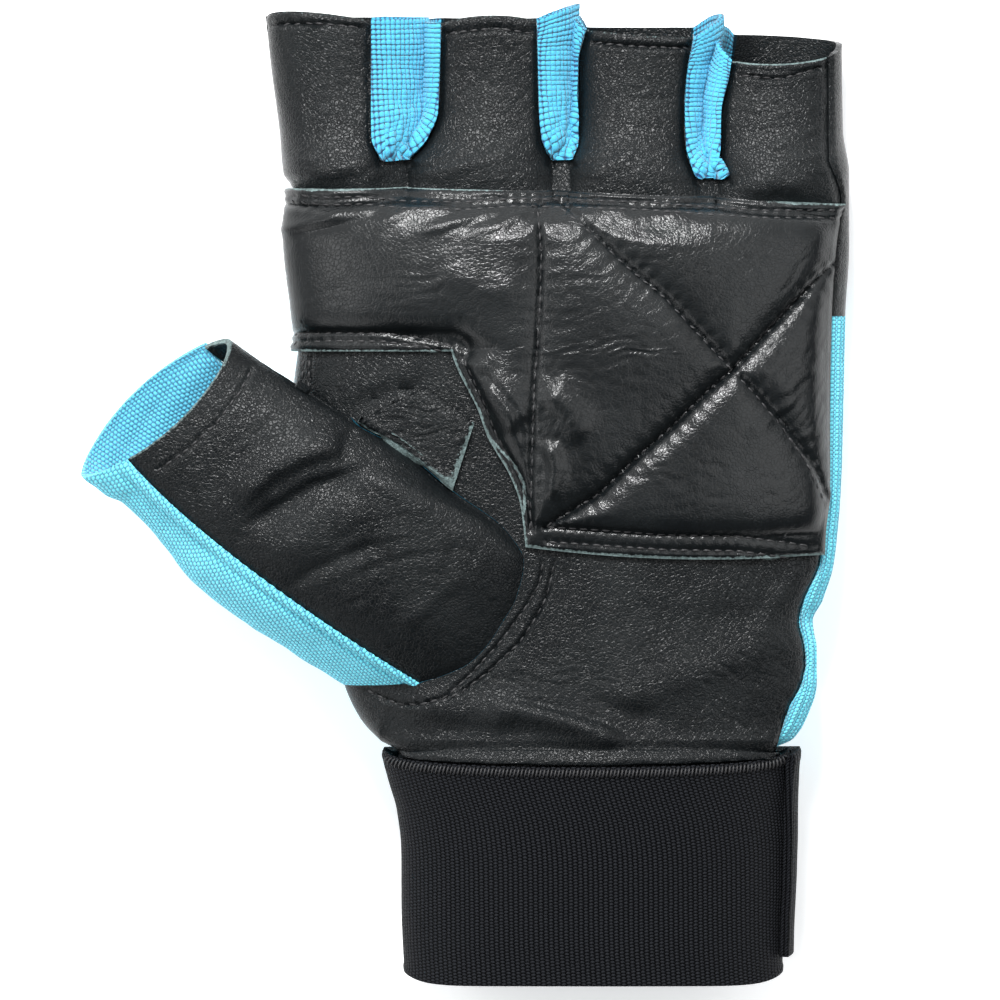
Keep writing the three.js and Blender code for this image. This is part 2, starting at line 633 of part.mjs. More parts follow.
// A point of the thumb mouth's rim.
function thumbRim(angle) {
  const axis = axisOf();
  const across = new THREE.Vector3(...THUMB.across).normalize();
  const up = across.clone().cross(axis).normalize();
  const [cx, cy, cz] = THUMB.centre;
  const a = radians(angle);
  return new THREE.Vector3(cx * PALM_WIDTH, cy * HAND_LENGTH, cz * HAND_DEPTH)
    .addScaledVector(across, THUMB.halfWidth * Math.cos(a))
    .addScaledVector(up, THUMB.halfDepth * Math.sin(a))
    .addScaledVector(axis, -THUMB.overlap * Math.sin(a) * Math.abs(Math.sin(a)));
}

// The way the thumb's face runs as it leaves the mouth, by the angle round the stall.
const THUMB_DEPARTURES = [
  { at: -28, x: 0.78, y: -0.56, z: -0.28 },
  { at: 60, x: 0.80, y: -0.56, z: 0.05 },
  { at: 127, x: 0.66, y: -0.76, z: 0.05 },
  { at: 176, x: 0.64, y: -0.76, z: -0.10 },
  { at: 230, x: 0.70, y: -0.65, z: -0.35 },
  { at: 332, x: 0.78, y: -0.56, z: -0.28 },
];

// The way it runs as it reaches the seam.
const THUMB_ARRIVALS = [
  { at: -28, x: 0.80, y: -0.55, z: -0.45 },
  { at: 4, x: 0.80, y: -0.50, z: -0.50 },
  { at: 60, x: 0.85, y: -0.30, z: -0.55 },
  { at: 100, x: 0.85, y: -0.45, z: -0.50 },
  { at: 127, x: 0.84, y: -0.50, z: -0.35 },
  { at: 176, x: 0.88, y: -0.46, z: -0.12 },
  { at: 230, x: 0.90, y: -0.35, z: -0.10 },
  { at: 300, x: 0.90, y: -0.40, z: 0.05 },
  { at: 332, x: 0.80, y: -0.55, z: -0.30 },
];

function addThumb(shell, palm, back) {
  const seam = thumbSeam(palm, back);
  const lines = seam.map(({ point, angle }) => {
    const rim = thumbRim(angle);
    const reach = rim.distanceTo(point);
    const start = new THREE.Vector3(along(THUMB_DEPARTURES, angle, 'x'),
      along(THUMB_DEPARTURES, angle, 'y'), along(THUMB_DEPARTURES, angle, 'z'))
      .normalize().multiplyScalar(reach * THUMB.mouthPull);
    const arrive = new THREE.Vector3(along(THUMB_ARRIVALS, angle, 'x'),
      along(THUMB_ARRIVALS, angle, 'y'), along(THUMB_ARRIVALS, angle, 'z'))
      .normalize().multiplyScalar(reach * THUMB.basePull);
    const line = [];
    for (let k = 0; k <= THUMB.stations; k += 1) {
      const t = k / THUMB.stations;
      const p = new THREE.Vector3()
        .addScaledVector(rim, 2 * t ** 3 - 3 * t ** 2 + 1)
        .addScaledVector(start, t ** 3 - 2 * t ** 2 + t)
        .addScaledVector(point, -2 * t ** 3 + 3 * t ** 2)
        .addScaledVector(arrive, t ** 3 - t ** 2);
      line.push(k === THUMB.stations ? point : p);
    }
    return line;
  });
  lines.forEach((line, k) => {
    const n = (k + 1) % lines.length;
    let middle = (seam[k].angle + (n === 0 ? 360 + THUMB.webAngle : seam[n].angle)) / 2;
    if (middle > 180) middle -= 360;
    const leather = middle > THUMB.foldAngle && middle < THUMB.seamAngle;
    for (let j = 0; j < THUMB.stations; j += 1) {
      shell.face(leather ? 'thumb_leather' : 'thumb_fabric',
        line[j], lines[n][j], lines[n][j + 1], line[j + 1]);
    }
  });
}

// A point of the palm face with its outward direction, from a position across and along.
function palmPoint(x, y) {
  return new THREE.Vector3(x, y, faceHeight(x, y, true));
}
function liftOff(spot, u, v, distance, spare = 0) {
  const step = 0.004;
  const du = spot(Math.min(1, u + step), v).sub(spot(Math.max(0, u - step), v));
  const dv = spot(u, v + step).sub(spot(u, v - step));
  const out = du.cross(dv).normalize();
  return spot(u, v).addScaledVector(out, distance + spare * (1 - out.z));
}

// Distance on the palm from a point to the nearest of the lines that hold the pad down.
function stitchDistance(x, y) {
  let best = Infinity;
  QUILT.forEach(({ points }) => {
    for (let k = 0; k < points.length - 1; k += 1) {
      const ax = points[k][0] * PALM_WIDTH, ay = points[k][1] * HAND_LENGTH;
      const bx = points[k + 1][0] * PALM_WIDTH, by = points[k + 1][1] * HAND_LENGTH;
      const t = clamp(((x - ax) * (bx - ax) + (y - ay) * (by - ay))
        / ((bx - ax) ** 2 + (by - ay) ** 2), 0, 1);
      best = Math.min(best, Math.hypot(x - mix(ax, bx, t), y - mix(ay, by, t)));
    }
  });
  return best;
}

function makePad() {
  const leftCells = 6, rightCells = 19, lowRows = 10, highRows = 9;
  const columns = leftCells + rightCells;
  const bow = (ends, t) => mix(ends.left, ends.right, t)
    + (ends.middle - (ends.left + ends.right) / 2) * 4 * t * (1 - t);
  const shareOf = (i) => i / columns;
  const level = (row, i) => {
    const t = clamp((i - leftCells) / rightCells, 0, 1);
    if (row <= lowRows) return mix(bow(PAD_FOOT, t), PAD_TURN, row / lowRows);
    return mix(PAD_TURN, bow(PAD_HEAD, shareOf(i)), (row - lowRows) / highRows);
  };
  const across = (i, y) => {
    const line = along(PAD_SIDE, y / HAND_LENGTH, 'x') * PALM_WIDTH;
    if (i <= leftCells) {
      const own = handColumns(y, PALM_CELLS, true).slice(0, PALM_CELLS.thumb + 1);
      const k = Math.min(Math.floor(i), PALM_CELLS.thumb - 1);
      if (i < PALM_CELLS.thumb) return mix(own[k], own[k + 1], i - k);
      return mix(own[PALM_CELLS.thumb], line, (i - PALM_CELLS.thumb) / (leftCells - PALM_CELLS.thumb));
    }
    const edge = along(LINES, y / HAND_LENGTH, 'edge') * PALM_WIDTH - SEAM_GAP;
    return mix(line, edge, (i - leftCells) / rightCells);
  };
  const spot = (u, v) => {
    const i = u * columns;
    const y = level(v * (lowRows + highRows), i) * HAND_LENGTH;
    return palmPoint(across(i, y), y);
  };
  const keep = (j, i) => j >= lowRows || i >= leftCells;
  const inner = [], outer = [];
  for (let j = 0; j <= lowRows + highRows; j += 1) {
    inner.push([]); outer.push([]);
    for (let i = 0; i <= columns; i += 1) {
      const u = i / columns, v = j / (lowRows + highRows);
      const p = spot(u, v);
      const fromEdge = Math.min(
        j > lowRows ? (lowRows + highRows - j) * 4 : Math.min(j * 4, 99),
        (columns - i) * 3.4,
        j >= lowRows && i <= leftCells ? i * 6 + 1.5 : 99,
        j < lowRows ? (i - leftCells) * 3.6 : 99,
        i <= leftCells ? (j - lowRows) * 4 : 99,
      );
      const held = Math.min(stitchDistance(p.x, p.y), Math.max(0, fromEdge));
      const rise = PAD_EDGE + PAD_RISE * (1 - Math.exp(-((held / QUILT_REACH) ** 2)));
      inner[j].push(liftOff(spot, u, v, PAD_GAP, PAD_SPARE));
      outer[j].push(liftOff(spot, u, v, PAD_GAP + rise, PAD_SPARE));
    }
  }
  return wallBetween(outer, inner, keep);
}

function makePatch() {
  const cells = 5;
  const at = ([x, y]) => new THREE.Vector2(x * PALM_WIDTH, y * HAND_LENGTH);
  const { web, fold, palm, seam } = PATCH_CORNERS;
  const [a, b, c, d] = [web, seam, palm, fold].map(at);
  const spot = (u, v) => {
    const low = a.clone().lerp(b, u), high = d.clone().lerp(c, u);
    const p = low.lerp(high, v);
    return palmPoint(p.x, p.y);
  };
  const inner = [], outer = [];
  for (let j = 0; j <= cells; j += 1) {
    inner.push([]); outer.push([]);
    for (let i = 0; i <= cells; i += 1) {
      inner[j].push(liftOff(spot, i / cells, j / cells, LAY_GAP));
      outer[j].push(liftOff(spot, i / cells, j / cells, LAY_GAP + PATCH));
    }
  }
  return wallBetween(outer, inner);
}

// The outer face of the wrist band by angle and by the share of its height.
function bandPoint(angle, share) {
  const a = radians(angle);
  const c = Math.cos(a), s = Math.sin(a);
  const read = (key) => along(BAND, share, key);
  const middle = ((read('left') + read('right')) / 2) * PALM_WIDTH;
  const half = ((read('right') - read('left')) / 2) * PALM_WIDTH;
  const power = 2 / 2.25;
  const front = Math.max(0, s);
  const top = 0.6 - 3.9 * front ** 0.7;
  const foot = top - BAND_HEIGHT + 2.9 * front + 2.2 * Math.abs(c) ** 10;
  const x = middle + half * Math.sign(c) * Math.abs(c) ** power;
  const z = read('side') * HAND_DEPTH
    + read('rise') * HAND_DEPTH * Math.sign(s) * Math.abs(s) ** power;
  return new THREE.Vector3(x, mix(foot, top, share), Math.max(STRAP_ROOM, z));
}

function bandNormal(angle, share) {
  const da = bandPoint(angle + 0.6, share).sub(bandPoint(angle - 0.6, share));
  const ds = bandPoint(angle, Math.min(1, share + 0.02)).sub(bandPoint(angle, Math.max(0, share - 0.02)));
  return ds.cross(da).normalize();
}

function bandWall(from, to, columns, shares, lift, thickness, loop) {
  const outer = [], inner = [];
  shares.forEach((share) => {
    outer.push([]); inner.push([]);
    for (let i = 0; i < (loop ? columns : columns + 1); i += 1) {
      const angle = mix(from, to, i / columns);
      const p = bandPoint(angle, share);
      const n = bandNormal(angle, share);
      outer[outer.length - 1].push(p.clone().addScaledVector(n, lift + thickness));
      inner[inner.length - 1].push(p.clone().addScaledVector(n, lift));
    }
  });
  return wallBetween(outer.reverse(), inner.reverse(), () => true, loop);
}

function colour(hex, roughness) {
  return new THREE.MeshStandardMaterial({ color: hex, roughness });
}

function build() {
  const group = new THREE.Group();
  const add = (name, geometry, material) => {
    const mesh = new THREE.Mesh(geometry, material);
    mesh.name = name;
    group.add(mesh);
  };
  const leather = colour(0x1b1d1f, 0.55);
  const fabric = colour(0x4db9ea, 0.9);
  const elastic = colour(0x141416, 0.95);

  const palm = sideGrid(PALM_CELLS, true);
  const back = sideGrid(BACK_CELLS, false);
  const shell = new Shell();
  addSide(shell, palm, PALM_CELLS, true);
  addSide(shell, back, BACK_CELLS, false);
  [0, 1, 2].forEach((slot) => addGusset(shell, palm, back, slot));
  addThumb(shell, palm, back);
  const normals = shell.normals();
  const panels = [
    ['palm_leather', LEATHER, leather], ['back_leather', LEATHER, leather],
    ['back_fabric', FABRIC, fabric], ['side_strip', LEATHER, leather],
    ['fourchette_one', FABRIC, fabric], ['fourchette_two', FABRIC, fabric],
    ['fourchette_three', FABRIC, fabric],
    ['thumb_leather', LEATHER, leather], ['thumb_fabric', FABRIC, fabric],
  ];
  panels.forEach(([name, thickness, material]) => {
    const faces = shell.faces.filter((f) => f.panel === name);
    add(name, wallOf(shell, normals, faces, thickness), material);
  });

  add('palm_pad', makePad(), leather);
  add('crotch_patch', makePatch(), leather);
  const whole = [0, 0.08, 0.5, 0.72, 0.88, 0.96, 1];
  add('wrist_band', bandWall(0, 360, BAND_COLUMNS, whole, -ELASTIC, ELASTIC, true), elastic);
  const low = (BAND_HEIGHT - STRAP_HEIGHT) / BAND_HEIGHT;
  const part = [low, 0.3, 0.55, 0.72, 0.88, 0.99];
  add('wrist_strap', bandWall(STRAP_END, STRAP_START, 20, part, LAY_GAP, ELASTIC, false), elastic);
  add('strap_tab', bandWall(TAB_END, STRAP_END - 0.6, 3, part, LAY_GAP, ELASTIC, false), elastic);

  const box = new THREE.Box3().setFromObject(group);
  group.position.set(-(box.min.x + box.max.x) / 2, -(box.min.y + box.max.y) / 2, -box.min.z);
  return group;
}

export default build();
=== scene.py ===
"""A weightlifting glove that lies palm up: leather, knit, woven elastic and its stitches."""

from __future__ import annotations

import logging
import math
from collections.abc import Sequence
from dataclasses import dataclass, field
from enum import Enum

import bpy
import numpy as np
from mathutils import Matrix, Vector
from mathutils.bvhtree import BVHTree

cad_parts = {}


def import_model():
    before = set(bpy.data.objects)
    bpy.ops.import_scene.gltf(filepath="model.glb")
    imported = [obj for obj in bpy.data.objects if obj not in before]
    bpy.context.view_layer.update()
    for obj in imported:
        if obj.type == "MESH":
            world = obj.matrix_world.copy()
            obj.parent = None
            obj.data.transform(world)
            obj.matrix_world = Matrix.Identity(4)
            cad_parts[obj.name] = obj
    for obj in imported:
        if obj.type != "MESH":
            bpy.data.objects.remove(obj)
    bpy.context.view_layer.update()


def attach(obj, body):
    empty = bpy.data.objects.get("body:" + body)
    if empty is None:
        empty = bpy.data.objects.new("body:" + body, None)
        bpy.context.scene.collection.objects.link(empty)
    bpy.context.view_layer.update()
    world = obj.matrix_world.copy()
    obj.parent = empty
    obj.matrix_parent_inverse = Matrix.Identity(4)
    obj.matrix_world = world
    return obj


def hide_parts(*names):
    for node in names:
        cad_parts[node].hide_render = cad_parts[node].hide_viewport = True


LOG = logging.getLogger("glove")
MM = 0.001
ORIGIN = np.array((19.5354, -50.3429, 0.0004))  # the tables' zero point in the row frame, mm
ABOVE = 0.08  # a height over the whole glove, from which rays are cast down, m
DOWN = Vector((0, 0, -1))
Grid = np.ndarray
Piece = bpy.types.Object
Socket = bpy.types.NodeSocket
Tree = bpy.types.NodeTree
Node = bpy.types.Node
Material = bpy.types.Material
Line = Sequence[tuple[float, float]]


class Side(Enum):
    """The two faces of the hand."""

    PALM = 1
    BACK = -1


# -------- numbers and curves


def mix(a: Grid, b: Grid, t: Grid) -> Grid:
    """Returns the value a share t of the way from a to b."""
    return a + (b - a) * t


def smooth(t: Grid) -> Grid:
    """Returns t eased from 0 to 1 at both ends."""
    u = np.clip(t, 0.0, 1.0)
    return u * u * (3.0 - 2.0 * u)


def peak(away: Grid, half: Grid) -> Grid:
    """Returns 1 on a line, falling off on both sides of it over a half width."""
    return np.exp(-((away / half) ** 2))


class Table:
    """Rows of named columns, read between the rows by a smooth curve that never overshoots."""

    def __init__(self, names: str, rows: tuple[tuple[float, ...], ...]) -> None:
        """Stores the rows and the slope of each column at each row.

        Args:
            names: the names of the columns after the first, which is where each row lies.
            rows: the rows, in rising order of their first number.
        """
        data = np.array(rows, float)
        self.at = data[:, 0]
        self.values = dict(zip(names.split(), data[:, 1:].T))
        self.slopes = {}
        for name, v in self.values.items():
            step = np.diff(v) / np.diff(self.at)
            both = step[:-1] * step[1:]
            total = step[:-1] + step[1:]
            inner = np.where(both > 0, 2 * both / np.where(both > 0, total, 1), 0.0)
            self.slopes[name] = np.concatenate([step[:1], inner, step[-1:]])

    def read(self, at: Grid, name: str) -> Grid:
        """Reads a column.

        Args:
            at: where to read, any shape.
            name: the column's name.

        Returns:
            The values, in the shape of at.
        """
        x = np.clip(at, self.at[0], self.at[-1])
        i = np.clip(np.searchsorted(self.at, x, "right") - 1, 0, len(self.at) - 2)
        v, m = self.values[name], self.slopes[name]
        span = self.at[i + 1] - self.at[i]
        t = (x - self.at[i]) / span
        return (
            (2 * t**3 - 3 * t**2 + 1) * v[i]
            + (t**3 - 2 * t**2 + t) * span * m[i]
            + (3 * t**2 - 2 * t**3) * v[i + 1]
            + (t**3 - t**2) * span * m[i + 1]
        )


def noise(x: Grid, y: Grid, seed: int) -> Grid:
    """Returns smooth noise between about -1 and 1, the same for the same seed.

    Args:
        x: positions across, in cells of the noise.
        y: positions along, in cells of the noise.
        seed: the number of the pattern.

    Returns:
        The noise at each position.
    """
    ix, iy = np.floor(x).astype(np.int64), np.floor(y).astype(np.int64)
    fx, fy = x - ix, y - iy
    u, v = fx**3 * (fx * (fx * 6 - 15) + 10), fy**3 * (fy * (fy * 6 - 15) + 10)

    def corner(dx: int, dy: int) -> Grid:
        """Returns the pull of one corner of the cell."""
        h = ((ix + dx) * 374761393 + (iy + dy) * 668265263 + seed * 974634777) & 0xFFFFFFFF
        h = ((h ^ (h >> 13)) * 1274126177) & 0xFFFFFFFF
        a = (h ^ (h >> 16)) * (2 * math.pi / 2**32)
        return np.cos(a) * (fx - dx) + np.sin(a) * (fy - dy)

    low = mix(corner(0, 0), corner(1, 0), u)
    return 1.4 * mix(low, mix(corner(0, 1), corner(1, 1), u), v)


def line_distance(x: Grid, y: Grid, points: Line) -> tuple[Grid, Grid, Grid]:
    """Measures how far points lie from a broken line.

    Args:
        x: positions across in mm.
        y: positions along in mm.
        points: the line's own points in mm.

    Returns:
        The distance, the length along the line of the nearest point, and the side: -1 or 1.
    """
    best = np.full(np.shape(x), 1e9)
    where, side, run = np.zeros(np.shape(x)), np.ones(np.shape(x)), 0.0
    for (ax, ay), (bx, by) in zip(points, points[1:]):
        dx, dy = bx - ax, by - ay
        size = math.hypot(dx, dy)
        t = np.clip(((x - ax) * dx + (y - ay) * dy) / size**2, 0, 1)
        away = np.hypot(x - ax - t * dx, y - ay - t * dy)
        near = away < best
        best = np.where(near, away, best)
        where = np.where(near, run + t * size, where)
        side = np.where(near, np.sign((x - ax) * dy - (y - ay) * dx), side)
        run += size
    return best, where, side


def seam_relief(x: Grid, y: Grid, lines: Sequence[Line], depth: float = 0.34,
                pitch: float = 2.2, half: float = 0.55) -> Grid:
    """Returns the groove that rows of stitches pull into the leather, in mm.

    Args:
        x: positions across in mm.
        y: positions along in mm.
        lines: the rows' points in mm.
        depth: how deep the thread pulls.
        pitch: the step from one stitch to the next.
        half: half the groove's width.

    Returns:
        The height at each point, below zero in the groove.
    """
    total = np.zeros(np.shape(x))
    for line in lines:
        away, run, _ = line_distance(x, y, line)
        hole = 0.5 + 0.5 * np.cos(2 * math.pi * run / pitch)
        groove = peak(away, half) * (0.7 + 0.5 * hole)
        swell = peak(away - 1.3 * half - 0.3, 0.45) * (0.22 - 0.2 * hole)
        total = total + depth * (swell - groove)
    return total


def steps(parts: list[int], fine: tuple[int, ...] = ()) -> Grid:
    """Returns positions over a row of cells, closer near some lines.

    Args:
        parts: the number of cuts in each cell.
        fine: the cell lines that get closer positions on both sides.

    Returns:
        The positions, rising from 0 to the number of cells.
    """
    count = len(parts)
    values = {float(count)}
    for cell, cuts in enumerate(parts):
        values |= {round(cell + k / cuts, 5) for k in range(cuts)}
    for line in fine:
        for near in (0.03, 0.07, 0.12, 0.18, 0.26, 0.36):
            values |= {round(line - near, 5), round(line + near, 5)}
    kept = sorted(v for v in values if 0 <= v <= count)
    out = [kept[0]]
    for v in kept[1:]:
        if v - out[-1] > 0.02 or float(v).is_integer():
            if float(v).is_integer() and v - out[-1] <= 0.02 and not float(out[-1]).is_integer():
                out[-1] = v
            else:
                out.append(v)
    return np.array(out)


# -------- the form of the hand


@dataclass
class HandForm:
    """The glove's outer face without its small folds, from the tables of its sections.

    Lengths are in millimetres from the wrist seam, with the fingers towards +Y.
    """

    palm_width: float = 110.0
    hand_length: float = 147.0
    hand_depth: float = 28.0
    roundness: float = 2.4
    split: tuple[float, float] = (0.7, 0.805)
    thumb_low: int = 6
    thumb_high: int = 16
    strip_low: int = 19
    crotch_rows: tuple[int, int, int] = (25, 25, 24)
    finger_rows: int = 6
    thumb_slant: float = 0.031
    side_spread: float = 1.7
    levels: tuple[float, ...] = (
        -0.055, -0.0272, 0.003, 0.0163, 0.0381, 0.0653, 0.0898, 0.1007, 0.1197, 0.1469,
        0.1837, 0.2204, 0.2585, 0.302, 0.351, 0.4014, 0.4517, 0.5034, 0.5469, 0.5905,
        0.6395, 0.6871, 0.724, 0.754, 0.7782, 0.8027,
    )
    hand: Table = field(default_factory=lambda: Table("left right side palm back", (
        (-0.055, -0.286, 0.37, 0.611, 0.41, 0.415),
        (-0.0272, -0.298, 0.374, 0.611, 0.415, 0.42),
        (0.003, -0.306, 0.382, 0.611, 0.428, 0.428),
        (0.0163, -0.34, 0.4164, 0.604, 0.466, 0.471),
        (0.0476, -0.3764, 0.4418, 0.589, 0.484, 0.5),
        (0.0898, -0.4018, 0.4582, 0.571, 0.5, 0.525),
        (0.1361, -0.4164, 0.4582, 0.557, 0.511, 0.54),
        (0.1755, -0.4291, 0.4509, 0.543, 0.518, 0.545),
        (0.2041, -0.4382, 0.4691, 0.536, 0.525, 0.545),
        (0.2612, -0.4564, 0.4909, 0.518, 0.54, 0.545),
        (0.3782, -0.4818, 0.5036, 0.5, 0.556, 0.536),
        (0.483, -0.4945, 0.5073, 0.482, 0.564, 0.521),
        (0.5918, -0.48, 0.5109, 0.464, 0.554, 0.5),
        (0.6871, -0.493, 0.5182, 0.446, 0.518, 0.471),
        (0.765, -0.496, 0.5182, 0.417, 0.457, 0.436),
        (0.786, -0.513, 0.5182, 0.411, 0.446, 0.429),
        (0.8435, -0.52, 0.5073, 0.375, 0.375, 0.357),
        (0.9252, -0.5345, 0.5055, 0.357, 0.321, 0.321),
        (1.0, -0.5455, 0.5055, 0.357, 0.304, 0.304),
    )))
    lines: Table = field(default_factory=lambda: Table("edge thumb under", (
        (-0.055, 0.35, -0.2, -0.17),
        (0.0041, 0.374, -0.215, -0.19),
        (0.0299, 0.3945, -0.245, -0.21),
        (0.0585, 0.4109, -0.26, -0.24),
        (0.0898, 0.4327, -0.264, -0.27),
        (0.1007, 0.437, -0.2236, -0.265),
        (0.117, 0.441, -0.1764, -0.256),
        (0.1469, 0.4382, -0.137, -0.242),
        (0.1755, 0.4291, -0.1127, -0.232),
        (0.2068, 0.44, -0.089, -0.226),
        (0.2558, 0.4673, -0.0745, -0.225),
        (0.2993, 0.4709, -0.108, -0.232),
        (0.3537, 0.4782, -0.2055, -0.276),
        (0.4109, 0.4782, -0.3, -0.35),
        (0.4517, 0.4782, -0.3873, -0.43),
        (0.5918, 0.4818, -0.412, -0.4),
        (0.6612, 0.4873, -0.424, -0.415),
        (0.7184, 0.4964, -0.435, -0.43),
        (0.7483, 0.5055, -0.443, -0.44),
        (0.8027, 0.4818, -0.46, -0.46),
    )))
    slots: tuple[Table, ...] = field(default_factory=lambda: (
        Table("left fold right", (
            (0.8027, -0.3345, -0.3, -0.2855),
            (0.8299, -0.3509, -0.2782, -0.2527),
            (0.8707, -0.3527, -0.2582, -0.2309),
            (0.9388, -0.3527, -0.2545, -0.2273),
            (0.9973, -0.3527, -0.2545, -0.2255),
        )),
        Table("left fold right", (
            (0.8027, -0.0236, -0.0055, 0.0091),
            (0.8299, -0.0418, 0.0091, 0.02),
            (0.8707, -0.0473, 0.0127, 0.0235),
            (0.9388, -0.0491, 0.0145, 0.0255),
            (0.9932, -0.0509, 0.02, 0.0436),
        )),
        Table("left fold right", (
            (0.7782, 0.2455, 0.2655, 0.2764),
            (0.8163, 0.222, 0.252, 0.282),
            (0.8707, 0.218, 0.2509, 0.285),
            (0.9143, 0.2218, 0.257, 0.298),
            (0.9728, 0.235, 0.282, 0.3091),
        )),
    ))
    mouths: tuple[tuple[float, float, float, float], ...] = (
        (1.0, 1.0054, 0.9932, 1.0),
        (0.9905, 1.0, 0.9932, 0.9986),
        (0.981, 0.9728, 0.9701, 0.986),
        (0.9388, 0.936, 0.9625, 0.9762),
    )
    folds: tuple[tuple[float, float, float, float, float, float], ...] = (
        (-0.11, 0.056, 0.06, 0.02, 3.2, 1.1),
        (-0.25, 0.068, -0.12, 0.048, 3, 0.8),
        (0.12, 0.075, 0.4, 0.15, 4, 0.7),
        (0.43, 0.235, 0.36, 0.17, 3, 0.8),
        (-0.33, 0.76, 0.44, 0.735, 2.6, -0.7),
    )

    def bulge(self, share: Grid) -> Grid:
        """Returns the height of a rounded section at a share of its half width."""
        inside = 1 - np.minimum(1, np.abs(share)) ** self.roundness
        return inside ** (1 / self.roundness)

    def fold_lift(self, x: Grid, y: Grid) -> Grid:
        """Returns how far the main folds lift the palm at a point."""
        lift = np.zeros(np.shape(x))
        for x1, y1, x2, y2, half, rise in self.folds:
            ends = [(x1 * self.palm_width, y1 * self.hand_length),
                    (x2 * self.palm_width, y2 * self.hand_length)]
            away, _, _ = line_distance(x, y, ends)
            lift = lift + rise * peak(away, half)
        return lift

    def read(self, y: Grid, name: str, slot: int | None = None) -> Grid:
        """Reads a section's number in millimetres.

        Args:
            y: positions along.
            name: the column.
            slot: which gap between the fingers it belongs to, if any.

        Returns:
            The number in millimetres.
        """
        at = np.asarray(y) / self.hand_length
        if slot is not None:
            return self.slots[slot].read(at, name) * self.palm_width
        if name in self.lines.values:
            return self.lines.read(at, name) * self.palm_width
        unit = self.palm_width if name in ("left", "right") else self.hand_depth
        return self.hand.read(at, name) * unit

    def height(self, x: Grid, y: Grid, side: Side) -> Grid:
        """Returns the height of the glove's outer face.

        Args:
            x: positions across.
            y: positions along.
            side: the palm or the back.

        Returns:
            The heights above the floor.
        """
        left, right, line = self.read(y, "left"), self.read(y, "right"), self.read(y, "side")
        reach = self.read(y, "palm") if side is Side.PALM else -self.read(y, "back")
        lefts = [self.read(y, "left", k) for k in range(3)]
        rights = [self.read(y, "right", k) for k in range(3)]
        folds = [self.read(y, "fold", k) for k in range(3)]
        lows, highs = np.stack([left, *folds]), np.stack([*folds, right])

        def tube(finger: Grid, px: Grid) -> Grid:
            """Returns the height of one finger's section."""
            low = np.take_along_axis(lows, finger[None], 0)[0]
            high = np.take_along_axis(highs, finger[None], 0)[0]
            return line + reach * self.bulge((px - (low + high) / 2) / ((high - low) / 2))

        whole = line + reach * self.bulge((x - (left + right) / 2) / ((right - left) / 2))
        finger = sum((x > r).astype(int) for r in rights)
        slot = np.minimum(finger, 2)
        a = np.take_along_axis(np.stack(lefts), slot[None], 0)[0]
        b = np.take_along_axis(np.stack(rights), slot[None], 0)[0]
        bridge = mix(tube(slot, a), tube(slot + 1, b), (x - a) / (b - a))
        own = np.where((finger < 3) & (x > a), bridge, tube(finger, x))
        share = smooth((y / self.hand_length - self.split[0]) / (self.split[1] - self.split[0]))
        height = mix(whole, own, share)
        if side is Side.PALM:
            return height + self.fold_lift(x, y) * smooth((height - line) / 5)
        return np.maximum(0, height)


